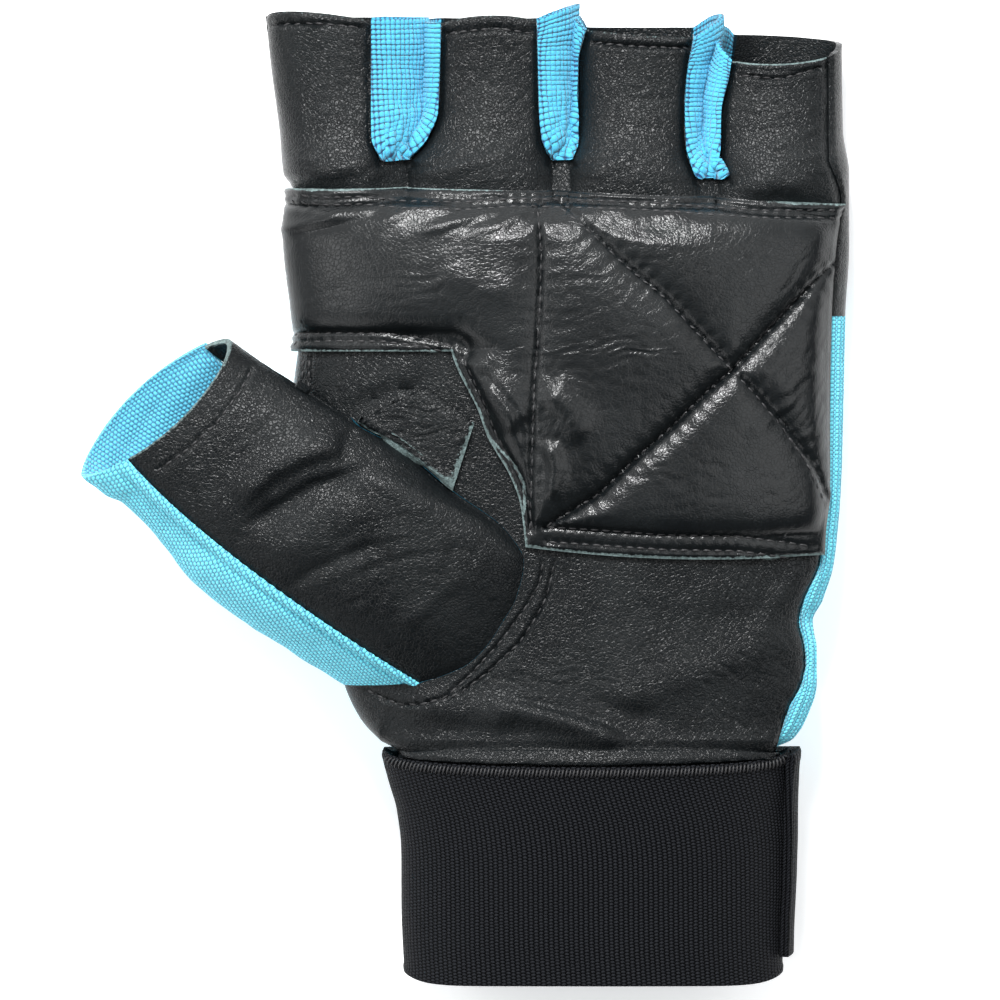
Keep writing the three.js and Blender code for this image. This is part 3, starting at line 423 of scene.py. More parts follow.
@dataclass
class HandSide:
    """One side of the hand as a grid of rows along and columns across."""

    form: HandForm
    side: Side
    index: int
    middle: int
    ring: int
    little: int
    strip: int
    thumb: int
    gap: int = 2

    def __post_init__(self) -> None:
        """Works out where each span of columns begins."""
        counts = (self.index, self.gap, self.middle, self.gap, self.ring, self.gap, self.little,
                  self.strip)
        self.starts = np.concatenate([[0], np.cumsum(counts)])
        self.columns = int(self.starts[-1])
        self.rows = len(self.form.levels) - 1 + self.form.finger_rows

    def finger_x(self, y: Grid, c: Grid) -> Grid:
        """Returns the position across of a column above the crotches."""
        form = self.form
        stops = [form.read(y, "left")]
        for k in range(3):
            stops += [form.read(y, "left", k), form.read(y, "right", k)]
        stops += [form.read(y, "edge"), form.read(y, "right")]
        table = np.stack([np.broadcast_to(s, np.broadcast(y, c).shape) for s in stops])
        k = np.clip(np.searchsorted(self.starts, c, "right") - 1, 0, 7)
        k = np.broadcast_to(k, table.shape[1:])
        t = (c - self.starts[k]) / (self.starts[k + 1] - self.starts[k])
        t = np.where(k == 0, np.maximum(t, 0) ** form.side_spread, t)
        t = np.where(k == 7, np.sin(t * math.pi / 2), t)
        low = np.take_along_axis(table, k[None], 0)[0]
        high = np.take_along_axis(table, k[None] + 1, 0)[0]
        return mix(low, high, t)

    def hand_x(self, y: Grid, c: Grid) -> Grid:
        """Returns the position across of a column below the crotches."""
        form = self.form
        crotch = np.full(np.shape(c), form.levels[-1] * form.hand_length)
        start = float(self.starts[7])
        top = self.finger_x(crotch, c)
        ends = self.finger_x(crotch[..., :2] * 0 + crotch.flat[0], np.array([self.thumb, start]))
        ends = ends.reshape(-1)[:2]
        line = form.read(y, "thumb" if self.side is Side.PALM else "under")
        edge, left, right = form.read(y, "edge"), form.read(y, "left"), form.read(y, "right")
        share = (top - ends[0]) / (ends[1] - ends[0])
        near = mix(left, line, np.clip(c / self.thumb, 0, 1) ** form.side_spread)
        turn = np.sin(np.clip((c - start) / (self.columns - start), 0, 1) * math.pi / 2)
        return np.where(c <= self.thumb, near,
                        np.where(c >= start, mix(edge, right, turn), mix(line, edge, share)))

    def rim(self, finger: Grid, t: Grid) -> Grid:
        """Returns the level of a finger's rim, as a share of the hand's length."""
        rows = np.array(self.form.mouths)
        left, middle, right, rear = (rows[:, k][finger] for k in range(4))
        if self.side is Side.PALM:
            return mix(left, right, t) + (middle - (left + right) / 2) * 4 * t * (1 - t)
        first = mix(left, rear, np.sqrt(np.clip(t, 0, 1)))
        return np.where(finger == 0, first, np.where(finger == 3, mix(rear, right, t**2), rear))

    def points(self, r: Grid, c: Grid) -> Grid:
        """Returns the points of the outer face.

        Args:
            r: rows, counted from the tucked wrist end.
            c: columns, counted from the index finger's side line.

        Returns:
            The points, with a last axis of three.
        """
        form = self.form
        r, c = np.broadcast_arrays(np.asarray(r, float), np.asarray(c, float))
        last = len(form.levels) - 1
        level = np.interp(r, np.arange(last + 1), form.levels)
        near = np.maximum(0, 1 - np.abs(r - form.thumb_high) / 3)
        climb = np.where(c < self.thumb, form.thumb_slant * near * (1 - c / self.thumb), 0)
        low_y = (level + climb) * form.hand_length
        low_x = self.hand_x(low_y, c)
        gaps = (self.starts[1:7:2] + self.starts[2:8:2]) / 2
        finger = np.searchsorted(gaps, c)
        start = self.starts[finger * 2]
        end = np.where(finger == 3, self.columns, self.starts[finger * 2 + 1])
        rim = self.rim(finger, np.clip((c - start) / (end - start), 0, 1))
        high_y = mix(form.levels[-1], rim, (r - last) / form.finger_rows) * form.hand_length
        high_x = self.finger_x(high_y, c)
        x, y = np.where(r > last, high_x, low_x), np.where(r > last, high_y, low_y)
        z = form.height(x, y, self.side)
        edge = (c < 1e-6) | (c > self.columns - 1e-6)
        return np.stack([x, y, np.where(edge, form.read(y, "side"), z)], axis=-1)

    def cell_panel(self, r: Grid, c: Grid) -> Grid:
        """Returns which panel each cell is in: 0 none, 1 main, 2 strip, 3 fabric.

        Args:
            r: rows of the cells' middles.
            c: columns of the cells' middles.

        Returns:
            The panel numbers.
        """
        form = self.form
        leather = (r >= form.strip_low) if self.side is Side.BACK else np.ones_like(r, bool)
        panel = np.where(leather, 1, 3)
        for k in range(3):
            gap = (c >= self.starts[2 * k + 1]) & (c < self.starts[2 * k + 2])
            panel = np.where(gap & (r >= form.crotch_rows[k]), 0, panel)
        hole = (c < self.thumb) & (r >= form.thumb_low) & (r < form.thumb_high)
        panel = np.where(hole, 0, panel)
        strip = c >= self.starts[7]
        return np.where(strip, np.where(r >= form.strip_low, 2, 3), panel)


# -------- making meshes


def deselect() -> None:
    """Leaves edit mode and selects nothing."""
    if bpy.context.mode != "OBJECT":
        bpy.ops.object.mode_set(mode="OBJECT")
    bpy.ops.object.select_all(action="DESELECT")


def grid_normals(p: Grid, turn: int = 1) -> Grid:
    """Returns the unit normals of a grid of points; turn is -1 where it faces the other way."""
    across = np.gradient(p, axis=1)
    along = np.gradient(p, axis=0)
    n = np.cross(across, along) * turn
    return n / np.maximum(np.linalg.norm(n, axis=-1, keepdims=True), 1e-9)


def lengths(p: Grid) -> Grid:
    """Returns the lengths over a grid across and along, in mm, for its UV map."""
    across = np.linalg.norm(np.diff(p, axis=1), axis=-1)
    along = np.linalg.norm(np.diff(p, axis=0), axis=-1)
    u = np.concatenate([np.zeros((p.shape[0], 1)), np.cumsum(across, 1)], axis=1)
    v = np.concatenate([np.zeros((1, p.shape[1])), np.cumsum(along, 0)], axis=0)
    u -= u[:, u.shape[1] // 2][:, None]
    return np.stack([u, np.broadcast_to(v.mean(1, keepdims=True), v.shape)], axis=-1)


@dataclass
class Cloth:
    """A grid of points on its way to being a piece: its place, its UV map and its masks."""

    name: str
    points: Grid
    keep: Grid | None = None
    turn: int = 1
    uv: Grid | None = None
    raw: Grid | None = None

    def normals(self) -> Grid:
        """Returns the outward normals of the grid."""
        return grid_normals(self.points, self.turn)

    def lift(self, height: Grid) -> None:
        """Moves every point out along its normal by a height in mm."""
        if self.uv is None:
            self.uv = lengths(self.points)
        self.points = self.points + self.normals() * height[..., None]

    def mesh(self) -> Piece:
        """Adds a plane grid, cuts it to the panel and lays it over the form.

        Returns:
            The object, one face thick.
        """
        rows, columns = self.points.shape[:2]
        uv = lengths(self.points) if self.uv is None else self.uv
        deselect()
        bpy.ops.mesh.primitive_grid_add(
            x_subdivisions=columns - 1, y_subdivisions=rows - 1, size=2, calc_uvs=True
        )
        obj = bpy.context.object
        obj.name = obj.data.name = self.name
        mesh = obj.data
        flat = np.zeros(len(mesh.vertices) * 3, np.float32)
        mesh.vertices.foreach_get("co", flat)
        flat = flat.reshape(-1, 3)
        i = np.rint((flat[:, 0] + 1) / 2 * (columns - 1)).astype(int)
        j = np.rint((flat[:, 1] + 1) / 2 * (rows - 1)).astype(int)
        place = (self.points[j, i] + ORIGIN) * MM
        mesh.vertices.foreach_set("co", place.astype(np.float32).ravel())
        corner = np.zeros(len(mesh.loops), np.int32)
        mesh.loops.foreach_get("vertex_index", corner)
        mesh.uv_layers[0].uv.foreach_set("vector", uv[j, i][corner].astype(np.float32).ravel())
        mask = mesh.attributes.new("raw", "FLOAT", "POINT")
        raw = np.zeros(len(i)) if self.raw is None else self.raw[j, i]
        mask.data.foreach_set("value", raw.astype(np.float32))
        if self.keep is not None:
            first = corner.reshape(-1, 4)
            keep = self.keep[j[first].min(1), i[first].min(1)]
            bpy.ops.object.mode_set(mode="EDIT")
            bpy.ops.mesh.select_mode(type="FACE")
            bpy.ops.mesh.select_all(action="DESELECT")
            bpy.ops.object.mode_set(mode="OBJECT")
            mesh.polygons.foreach_set("select", ~keep)
            bpy.ops.object.mode_set(mode="EDIT")
            bpy.ops.mesh.delete(type="FACE")
            bpy.ops.object.mode_set(mode="OBJECT")
        if self.turn < 0:
            mesh.flip_normals()
        mesh.update()
        return obj


def join(parts: list[Piece], weld: float = 0.02) -> Piece:
    """Joins pieces that share an edge and merges the points along it.

    Args:
        parts: the pieces; the first keeps its name.
        weld: how near two points are to be merged, in mm.

    Returns:
        The joined piece.
    """
    deselect()
    for part in parts:
        part.select_set(True)
    bpy.context.view_layer.objects.active = parts[0]
    if len(parts) > 1:
        bpy.ops.object.join()
    bpy.ops.object.mode_set(mode="EDIT")
    bpy.ops.mesh.select_all(action="SELECT")
    bpy.ops.mesh.remove_doubles(threshold=weld * MM)
    bpy.ops.object.mode_set(mode="OBJECT")
    return parts[0]


def thicken(obj: Piece, wall: float, smooth_angle: float = 50) -> Piece:
    """Gives a one-face panel its wall on the inner side and rounds its shading.

    Args:
        obj: the panel.
        wall: the wall in mm.
        smooth_angle: edges sharper than this many degrees stay crisp.

    Returns:
        The same object.
    """
    deselect()
    obj.select_set(True)
    bpy.context.view_layer.objects.active = obj
    solid = obj.modifiers.new("wall", "SOLIDIFY")
    solid.thickness = wall * MM
    solid.offset = -1
    solid.use_even_offset = False
    outer = len(obj.data.vertices)
    bpy.ops.object.modifier_apply(modifier=solid.name)
    bpy.ops.object.shade_smooth_by_angle(angle=math.radians(smooth_angle))
    spread_rim(obj, outer, wall)
    return obj


def spread_rim(obj: Piece, outer: int, wall: float) -> None:
    """Carries the UV map over a panel's edge faces and marks the wall's inner side.

    Args:
        obj: the panel with its wall.
        outer: how many of its vertices are on the outer face.
        wall: the wall in mm.
    """
    mesh = obj.data
    corner = np.zeros(len(mesh.loops), np.int32)
    mesh.loops.foreach_get("vertex_index", corner)
    total = np.zeros(len(mesh.polygons), np.int32)
    mesh.polygons.foreach_get("loop_total", total)
    face = np.repeat(np.arange(len(total)), total)
    inner = corner >= outer
    share = np.bincount(face, inner) / total
    rim = inner & (share[face] > 0) & (share[face] < 1)
    uv = np.zeros(len(corner) * 2, np.float32)
    mesh.uv_layers[0].uv.foreach_get("vector", uv)
    uv = uv.reshape(-1, 2) + rim[:, None] * wall
    mesh.uv_layers[0].uv.foreach_set("vector", uv.astype(np.float32).ravel())
    # The inside mask is what the knit uses for its painted shade on the inner face.
    back = mesh.attributes.new("inside", "FLOAT", "POINT")
    back.data.foreach_set("value", (np.arange(len(mesh.vertices)) >= outer).astype(np.float32))


class Ground:
    """Finished pieces that something is laid on, found by rays from above."""

    def __init__(self, pieces: Sequence[Piece]) -> None:
        """Keeps a search tree of each piece."""
        graph = bpy.context.evaluated_depsgraph_get()
        self.trees = [BVHTree.FromObject(piece, graph) for piece in pieces]

    def under(self, x: float, y: float) -> list[tuple[Vector, Vector, int, float]]:
        """Returns what a ray straight down at a place in mm meets, once for each piece."""
        spot = Vector(((x + ORIGIN[0]) * MM, (y + ORIGIN[1]) * MM, ABOVE))
        hits = [tree.ray_cast(spot, DOWN) for tree in self.trees]
        return [hit for hit in hits if hit[0] is not None]


def area_of(obj: Piece) -> float:
    """Returns a piece's whole surface in square metres."""
    return sum(p.area for p in obj.data.polygons)


# -------- shaders


class Nodes:
    """A short way to add and join shader nodes in one tree."""

    def __init__(self, tree: Tree) -> None:
        """Keeps the tree."""
        self.tree = tree

    def link(self, source: Socket, target: Socket) -> None:
        """Joins two sockets."""
        self.tree.links.new(source, target)

    def add(self, kind: str, inputs: dict | None = None, **settings: object) -> Node:
        """Adds a node.

        Args:
            kind: the node's type name, without "ShaderNode".
            inputs: values or sockets by input name or number.
            settings: the node's own properties.

        Returns:
            The node.
        """
        node = self.tree.nodes.new("ShaderNode" + kind)
        for name, value in settings.items():
            setattr(node, name, value)
        for name, value in (inputs or {}).items():
            if isinstance(value, Socket):
                self.link(value, node.inputs[name])
            else:
                node.inputs[name].default_value = value
        return node

    def math(self, operation: str, a: object, b: object = 0.0, c: object = 0.0) -> Socket:
        """Adds a Math node and returns its output."""
        node = self.add("Math", {0: a, 1: b, 2: c}, operation=operation)
        return node.outputs[0]

    def mul(self, a: object, b: object) -> Socket:
        """Returns the product of two values."""
        return self.math("MULTIPLY", a, b)

    def sum(self, a: object, b: object) -> Socket:
        """Returns the sum of two values."""
        return self.math("ADD", a, b)

    def sub(self, a: object, b: object) -> Socket:
        """Returns the first value less the second."""
        return self.math("SUBTRACT", a, b)

    def noise(self, vector: object, scale: object, detail: float, rough: float = 0.5) -> Node:
        """Adds a Noise Texture node."""
        values = {"Vector": vector, "Scale": scale, "Detail": detail, "Roughness": rough}
        return self.add("TexNoise", values)

    def group(self, tree: Tree, **values: object) -> Node:
        """Adds a shared group with its input values."""
        return self.add("Group", values, node_tree=tree)

    def ramp(self, value: Socket, low: float, high: float,
             to_low: float = 0.0, to_high: float = 1.0) -> Socket:
        """Adds a clamped Map Range node and returns its output."""
        node = self.add("MapRange", {0: value, 1: low, 2: high, 3: to_low, 4: to_high})
        return node.outputs[0]

    def blend(self, factor: object, a: object, b: object) -> Socket:
        """Adds a colour mix and returns its output."""
        node = self.add("Mix", {0: factor, 6: a, 7: b}, data_type="RGBA")
        return node.outputs[2]


def group_of(name: str, inputs: dict[str, float], outputs: dict[str, str]) -> tuple[Tree, Nodes,
        Node, Node]:
    """Starts a shader node group.

    Args:
        name: the group's name.
        inputs: the inputs' names and first values; a Vector input has the value None.
        outputs: the outputs' names and socket types.

    Returns:
        The tree, its helper, and its input and output nodes.
    """
    tree = bpy.data.node_groups.new(name, "ShaderNodeTree")
    for key, value in inputs.items():
        kind = "NodeSocketVector" if value is None else "NodeSocketFloat"
        socket = tree.interface.new_socket(key, in_out="INPUT", socket_type=kind)
        if value is not None:
            socket.default_value = value
    for key, kind in outputs.items():
        tree.interface.new_socket(key, in_out="OUTPUT", socket_type=kind)
    n = Nodes(tree)
    return tree, n, tree.nodes.new("NodeGroupInput"), tree.nodes.new("NodeGroupOutput")


class Effects:
    """The shader groups that several finishes share."""

    def __init__(self) -> None:
        """Builds each group once."""
        self.grain = self.make_grain()
        self.weave = self.make_weave()
        self.fuzz = self.make_fuzz()

    @staticmethod
    def make_grain() -> Tree:
        """Builds the pebbled grain of leather: a height, a crease mask and a patchy mask."""
        tree, n, start, end = group_of(
            "leather_grain",
            {"Vector": None, "Pebble": 900.0},
            {"Height": "NodeSocketFloat", "Crease": "NodeSocketFloat", "Patch": "NodeSocketFloat"},
        )
        vector, pebble = start.outputs["Vector"], start.outputs["Pebble"]
        bend = n.noise(vector, 420.0, 3.0)
        push = n.add("VectorMath", {0: bend.outputs["Color"], 1: (0.0014, 0.0014, 0.0014)},
            operation="MULTIPLY")
        bent = n.add("VectorMath", {0: vector, 1: push.outputs[0]}, operation="ADD").outputs[0]
        cells = n.add("TexVoronoi", {"Vector": bent, "Scale": pebble}, feature="DISTANCE_TO_EDGE")
        fine = n.add("TexVoronoi", {"Vector": bent, "Scale": n.mul(pebble, 1.9)}, feature="F1")
        edge = n.ramp(cells.outputs["Distance"], 0.0, 0.16)
        dust = n.noise(vector, n.mul(pebble, 1.6), 4.0, 0.7)
        broad = n.noise(vector, 60.0, 3.0)
        patch = n.ramp(broad.outputs["Fac"], 0.38, 0.62)
        height = n.mul(edge, n.sum(n.mul(patch, 0.15), 0.6))
        height = n.sum(height, n.mul(fine.outputs["Distance"], -0.6))
        height = n.sum(height, n.mul(dust.outputs["Fac"], 0.3))
        n.link(height, end.inputs["Height"])
        n.link(n.sub(1.0, edge), end.inputs["Crease"])
        n.link(patch, end.inputs["Patch"])
        return tree

    @staticmethod
    def make_weave() -> Tree:
        """Builds the loops of knit or the cords of elastic from a UV map in millimetres."""
        tree, n, start, end = group_of(
            "loop_weave",
            {"Vector": None, "Across": 1.0, "Along": 0.9, "Stagger": 0.5, "Pinch": 0.5},
            {"Height": "NodeSocketFloat", "Pit": "NodeSocketFloat", "Yarn": "NodeSocketFloat"},
        )
        split = n.add("SeparateXYZ", {0: start.outputs["Vector"]})
        wob = n.noise(start.outputs["Vector"], 0.55, 2.0)
        shift = n.mul(n.sub(wob.outputs["Fac"], 0.5), 0.25)
        u = n.math("DIVIDE", n.sum(split.outputs[0], shift), start.outputs["Across"])
        column = n.math("FLOOR", u)
        odd = n.mul(n.math("MODULO", n.math("ABSOLUTE", column), 2.0), start.outputs["Stagger"])
        v = n.sum(n.math("DIVIDE", n.sum(split.outputs[1], shift), start.outputs["Along"]), odd)
        cu = n.math("ABSOLUTE", n.sub(n.math("FRACT", u), 0.5))
        cv = n.math("ABSOLUTE", n.sub(n.math("FRACT", v), 0.5))
        round_u = n.math("SQRT", n.math("MAXIMUM",
            n.sub(1.0, n.math("POWER", n.mul(cu, 2.0), 2.0)), 0.0))
        round_v = n.math("SQRT", n.math("MAXIMUM",
            n.sub(1.0, n.math("POWER", n.mul(cv, 2.0), 2.0)), 0.0))
        height = n.mul(round_u, n.sum(n.mul(round_v, start.outputs["Pinch"]),
            n.sub(1.0, start.outputs["Pinch"])))
        pit = n.ramp(n.sum(n.mul(cu, 2.0), n.mul(cv, 2.0)), 0.95, 1.55)
        ply = n.noise(start.outputs["Vector"], 4.2, 4.0, 0.7)
        height = n.sum(height, n.mul(ply.outputs["Fac"], 0.35))
        n.link(height, end.inputs["Height"])
        n.link(pit, end.inputs["Pit"])
        n.link(ply.outputs["Fac"], end.inputs["Yarn"])
        return tree

    @staticmethod
    def make_fuzz() -> Tree:
        """Builds the short fibres of a raw edge or of worn pile: a mask and a height."""
        tree, n, start, end = group_of(
            "fibre_fuzz",
            {"Vector": None, "Scale": 1400.0},
            {"Mask": "NodeSocketFloat", "Height": "NodeSocketFloat"},
        )
        near = n.noise(start.outputs["Vector"], start.outputs["Scale"], 5.0, 0.75)
        n.link(n.ramp(near.outputs["Fac"], 0.35, 0.65), end.inputs["Mask"])
        n.link(near.outputs["Fac"], end.inputs["Height"])
        return tree


def start_material(name: str) -> tuple[Material, Nodes, Node]:
    """Makes an empty material with its shader and returns it with its helper and the shader."""
    mat = bpy.data.materials.new(name)
    mat.use_nodes = True
    mat.node_tree.nodes.clear()
    n = Nodes(mat.node_tree)
    shader = n.add("BsdfPrincipled")
    out = n.add("OutputMaterial")
    n.link(shader.outputs[0], out.inputs[0])
    return mat, n, shader


@dataclass(frozen=True)
class LeatherFinish:
    """Black dressed leather with a pebbled grain, painted shade in the grain's creases and pale raw
    edges.
    """

    name: str
    base: tuple[float, float, float] = (0.004, 0.0053, 0.0062)
    lit: tuple[float, float, float] = (0.0068, 0.0086, 0.0096)
    raw: tuple[float, float, float] = (0.175, 0.24, 0.24)
    rough: tuple[float, float] = (0.24, 0.31)
    shine: float = 0.18
    pebble: float = 1350.0
    bump: float = 0.45
    depth: float = 0.00022

    def build(self, fx: Effects) -> Material:
        """Makes the material.

        Args:
            fx: the shared shader groups.

        Returns:
            The material.
        """
        mat, n, shader = start_material(self.name)
        place = n.add("TexCoord").outputs["Object"]
        grain = n.group(fx.grain, Vector=place, Pebble=self.pebble)
        fuzz = n.group(fx.fuzz, Vector=place)
        raw = n.add("Attribute", attribute_name="raw").outputs["Fac"]
        worn = n.sum(raw, n.mul(n.sub(fuzz.outputs["Mask"], 0.5), 0.5))
        mask = n.ramp(worn, 0.42, 0.66)
        hide = n.blend(grain.outputs["Patch"], (*self.base, 1), (*self.lit, 1))
        # Painted shade: the grain's creases are darkened towards near-black.
        dark = n.blend(n.mul(grain.outputs["Crease"], 0.6), hide, (0.003, 0.0035, 0.0035, 1))
        pale = n.blend(fuzz.outputs["Mask"], (*(0.25 * v for v in self.raw), 1), (*self.raw, 1))
        colour = n.blend(mask, dark, pale)
        n.link(colour, shader.inputs["Base Color"])
        rough = n.ramp(grain.outputs["Patch"], 0, 1, *self.rough)
        rough = n.sum(rough, n.mul(mask, 0.45))
        n.link(rough, shader.inputs["Roughness"])
        shader.inputs["Specular IOR Level"].default_value = self.shine
        height = n.sum(grain.outputs["Height"], n.mul(n.mul(fuzz.outputs["Height"], mask), 1.2))
        bump = n.add("Bump", {"Height": height, "Strength": self.bump, "Distance": self.depth})
        n.link(bump.outputs[0], shader.inputs["Normal"])
        return mat


@dataclass(frozen=True)
class WeaveFinish:
    """Knit or woven elastic, from a UV map in millimetres, with painted shade in the pits between
    its loops and, where set, painted shade on its inner face and a painted glow.
    """

    name: str
    light: tuple[float, float, float]
    # dark is the colour of the painted shade in the pits and on the inner face.
    dark: tuple[float, float, float]
    across: float
    along: float
    stagger: float
    pinch: float
    rough: float = 0.85
    sheen: float = 0.25
    bump: float = 0.7
    depth: float = 0.00035
    pit: float = 0.8
    shine: float = 0.3
    fleck: float = 0.0
    # inner: how far the wall's inner face is darkened, as painted shade.
    inner: float = 0.0
    # glow: how strongly the knit glows in its own colour, as painted light.
    glow: float = 0.0

    def build(self, fx: Effects) -> Material:
        """Makes the material.

        Args:
            fx: the shared shader groups.

        Returns:
            The material.
        """
        mat, n, shader = start_material(self.name)
        uv = n.add("UVMap").outputs[0]
        weave = n.group(fx.weave, Vector=uv, Across=self.across, Along=self.along,
            Stagger=self.stagger, Pinch=self.pinch)
        yarn = n.ramp(weave.outputs["Yarn"], 0.25, 0.75)
        tint = n.blend(n.mul(yarn, 0.35), (*self.light, 1), (*(0.6 * v for v in self.light), 1))
        fleck = n.mul(n.ramp(weave.outputs["Yarn"], 0.6, 0.7), self.fleck)
        tint = n.blend(fleck, tint, (*(3.6 * v for v in self.light), 1))
        # Painted shade: the pits between the loops or cords are darkened towards the dark colour.
        colour = n.blend(n.mul(weave.outputs["Pit"], self.pit), tint, (*self.dark, 1))
        # Painted shade: the wall's inner face is darkened towards the dark colour by the inside
        # mask.
        inside = n.add("Attribute", attribute_name="inside").outputs["Fac"]
        colour = n.blend(n.mul(inside, self.inner), colour, (*self.dark, 1))
        n.link(colour, shader.inputs["Base Color"])
        # Painted light: the knit glows in its own colour, standing in for light let through the
        # thin knit.
        if self.glow:
            n.link(colour, shader.inputs["Emission Color"])
            shader.inputs["Emission Strength"].default_value = self.glow
        n.link(n.ramp(weave.outputs["Yarn"], 0.3, 0.7, self.rough - 0.08,
            min(1.0, self.rough + 0.08)), shader.inputs["Roughness"])
        shader.inputs["Sheen Weight"].default_value = self.sheen
        shader.inputs["Specular IOR Level"].default_value = self.shine
        bump = n.add("Bump", {"Height": weave.outputs["Height"], "Strength": self.bump,
            "Distance": self.depth})
        n.link(bump.outputs[0], shader.inputs["Normal"])
        return mat


@dataclass(frozen=True)
class ThreadFinish:
    """Sewing thread with its twist."""

    name: str
    colour: tuple[float, float, float]
    rough: float = 0.55

    def build(self, fx: Effects) -> Material:
        """Makes the material.

        Args:
            fx: the shared shader groups.

        Returns:
            The material.
        """
        mat, n, shader = start_material(self.name)
        place = n.add("TexCoord").outputs["Object"]
        fuzz = n.group(fx.fuzz, Vector=place, Scale=2600.0)
        colour = n.blend(fuzz.outputs["Mask"], (*self.colour, 1),
            (*(1.7 * v for v in self.colour), 1))
        n.link(colour, shader.inputs["Base Color"])
        n.link(n.ramp(fuzz.outputs["Height"], 0, 1, self.rough - 0.1, self.rough + 0.15),
            shader.inputs["Roughness"])
        bump = n.add("Bump", {"Height": fuzz.outputs["Height"], "Strength": 0.5,
            "Distance": 0.0001})
        n.link(bump.outputs[0], shader.inputs["Normal"])
        return mat


@dataclass
class Wardrobe:
    """Every material of the glove, each made once."""

    fx: Effects = field(default_factory=Effects)

    def __post_init__(self) -> None:
        """Makes the materials."""
        self.hide = LeatherFinish("palm_hide").build(self.fx)
        self.pad_hide = LeatherFinish("pad_hide", pebble=1300.0, bump=0.18, rough=(0.21, 0.27),
            shine=0.29).build(self.fx)
        # blue is the knit's own colour; the second colour of each weave below is the painted shade
        # of its pits.
        blue = (0.185, 0.825, 1.0)
        painted_shade_blue = (0.012, 0.19, 0.48)
        self.knit = WeaveFinish("gusset_knit", (0.068, 0.445, 0.68), (0.003, 0.055, 0.17), 1.02,
            0.94, 0.0, 0.7, depth=0.0006, bump=1.0, pit=1.0).build(self.fx)
        # The thumb's knit gets painted shade on its inner face and a painted glow.
        self.fine_knit = WeaveFinish("thumb_knit", blue, painted_shade_blue, 0.88, 0.84, 0.5, 0.7, depth=0.0007,
            bump=1.0, pit=0.65, inner=0.4, glow=0.12).build(self.fx)
        self.elastic = WeaveFinish(
            "band_elastic", (0.0175, 0.019, 0.0225), (0.0004, 0.0004, 0.0006), 1.0, 0.66, 0.5, 0.75,
            rough=0.55, sheen=0.0, bump=1.0, depth=0.0009, shine=0.05, pit=1.0, fleck=0.8,
        ).build(self.fx)
        self.black_thread = ThreadFinish("black_thread", (0.009, 0.009, 0.01), 0.5).build(self.fx)


# -------- relief of the leather


@dataclass(frozen=True)
class Fold:
    """A ridge or a groove along a broken line, in mm; left is its half width on that side."""

    points: Line
    half: float
    rise: float
    left: float = 0.0

    def lift(self, x: Grid, y: Grid) -> Grid:
        """Returns the fold's height at each point."""
        away, run, side = line_distance(x, y, self.points)
        total = sum(math.dist(a, b) for a, b in zip(self.points, self.points[1:]))
        taper = smooth(run / (0.25 * total)) * smooth((total - run) / (0.25 * total)) * 0.85 + 0.15
        half = np.where(side < 0, self.left or self.half, self.half)
        return self.rise * peak(away, half) * taper


@dataclass(frozen=True)
class Crumple:
    """A patch of fine creases that run one way."""

    centre: tuple[float, float]
    reach: tuple[float, float]
    angle: float
    pitch: float
    rise: float
    seed: int

    def lift(self, x: Grid, y: Grid) -> Grid:
        """Returns the creases' height at each point."""
        dx, dy = x - self.centre[0], y - self.centre[1]
        a = math.radians(self.angle)
        u, v = dx * math.cos(a) + dy * math.sin(a), dy * math.cos(a) - dx * math.sin(a)
        window = np.exp(-((dx / self.reach[0]) ** 2) - (dy / self.reach[1]) ** 2)
        sway = noise(u / 9, v / 9, self.seed + 5) * self.pitch * 1.4
        field_ = noise(u / (self.pitch * 4.5), (v + sway) / self.pitch, self.seed)
        ridge = 1 - np.abs(field_) * 2.2
        return self.rise * window * ridge


def leather_relief(x: Grid, y: Grid, seed: int, amount: float = 1.0) -> Grid:
    """Returns the soft unevenness that all dressed leather has, in mm."""
    broad = noise(x / 14, y / 14, seed) * 0.22 + noise(x / 6, y / 6, seed + 1) * 0.1
    crease = -np.maximum(0, 0.1 - np.abs(noise(x / 5, y / 5, seed + 2))) * 1.2
    return amount * (broad + crease + noise(x / 2.2, y / 2.2, seed + 3) * 0.03)


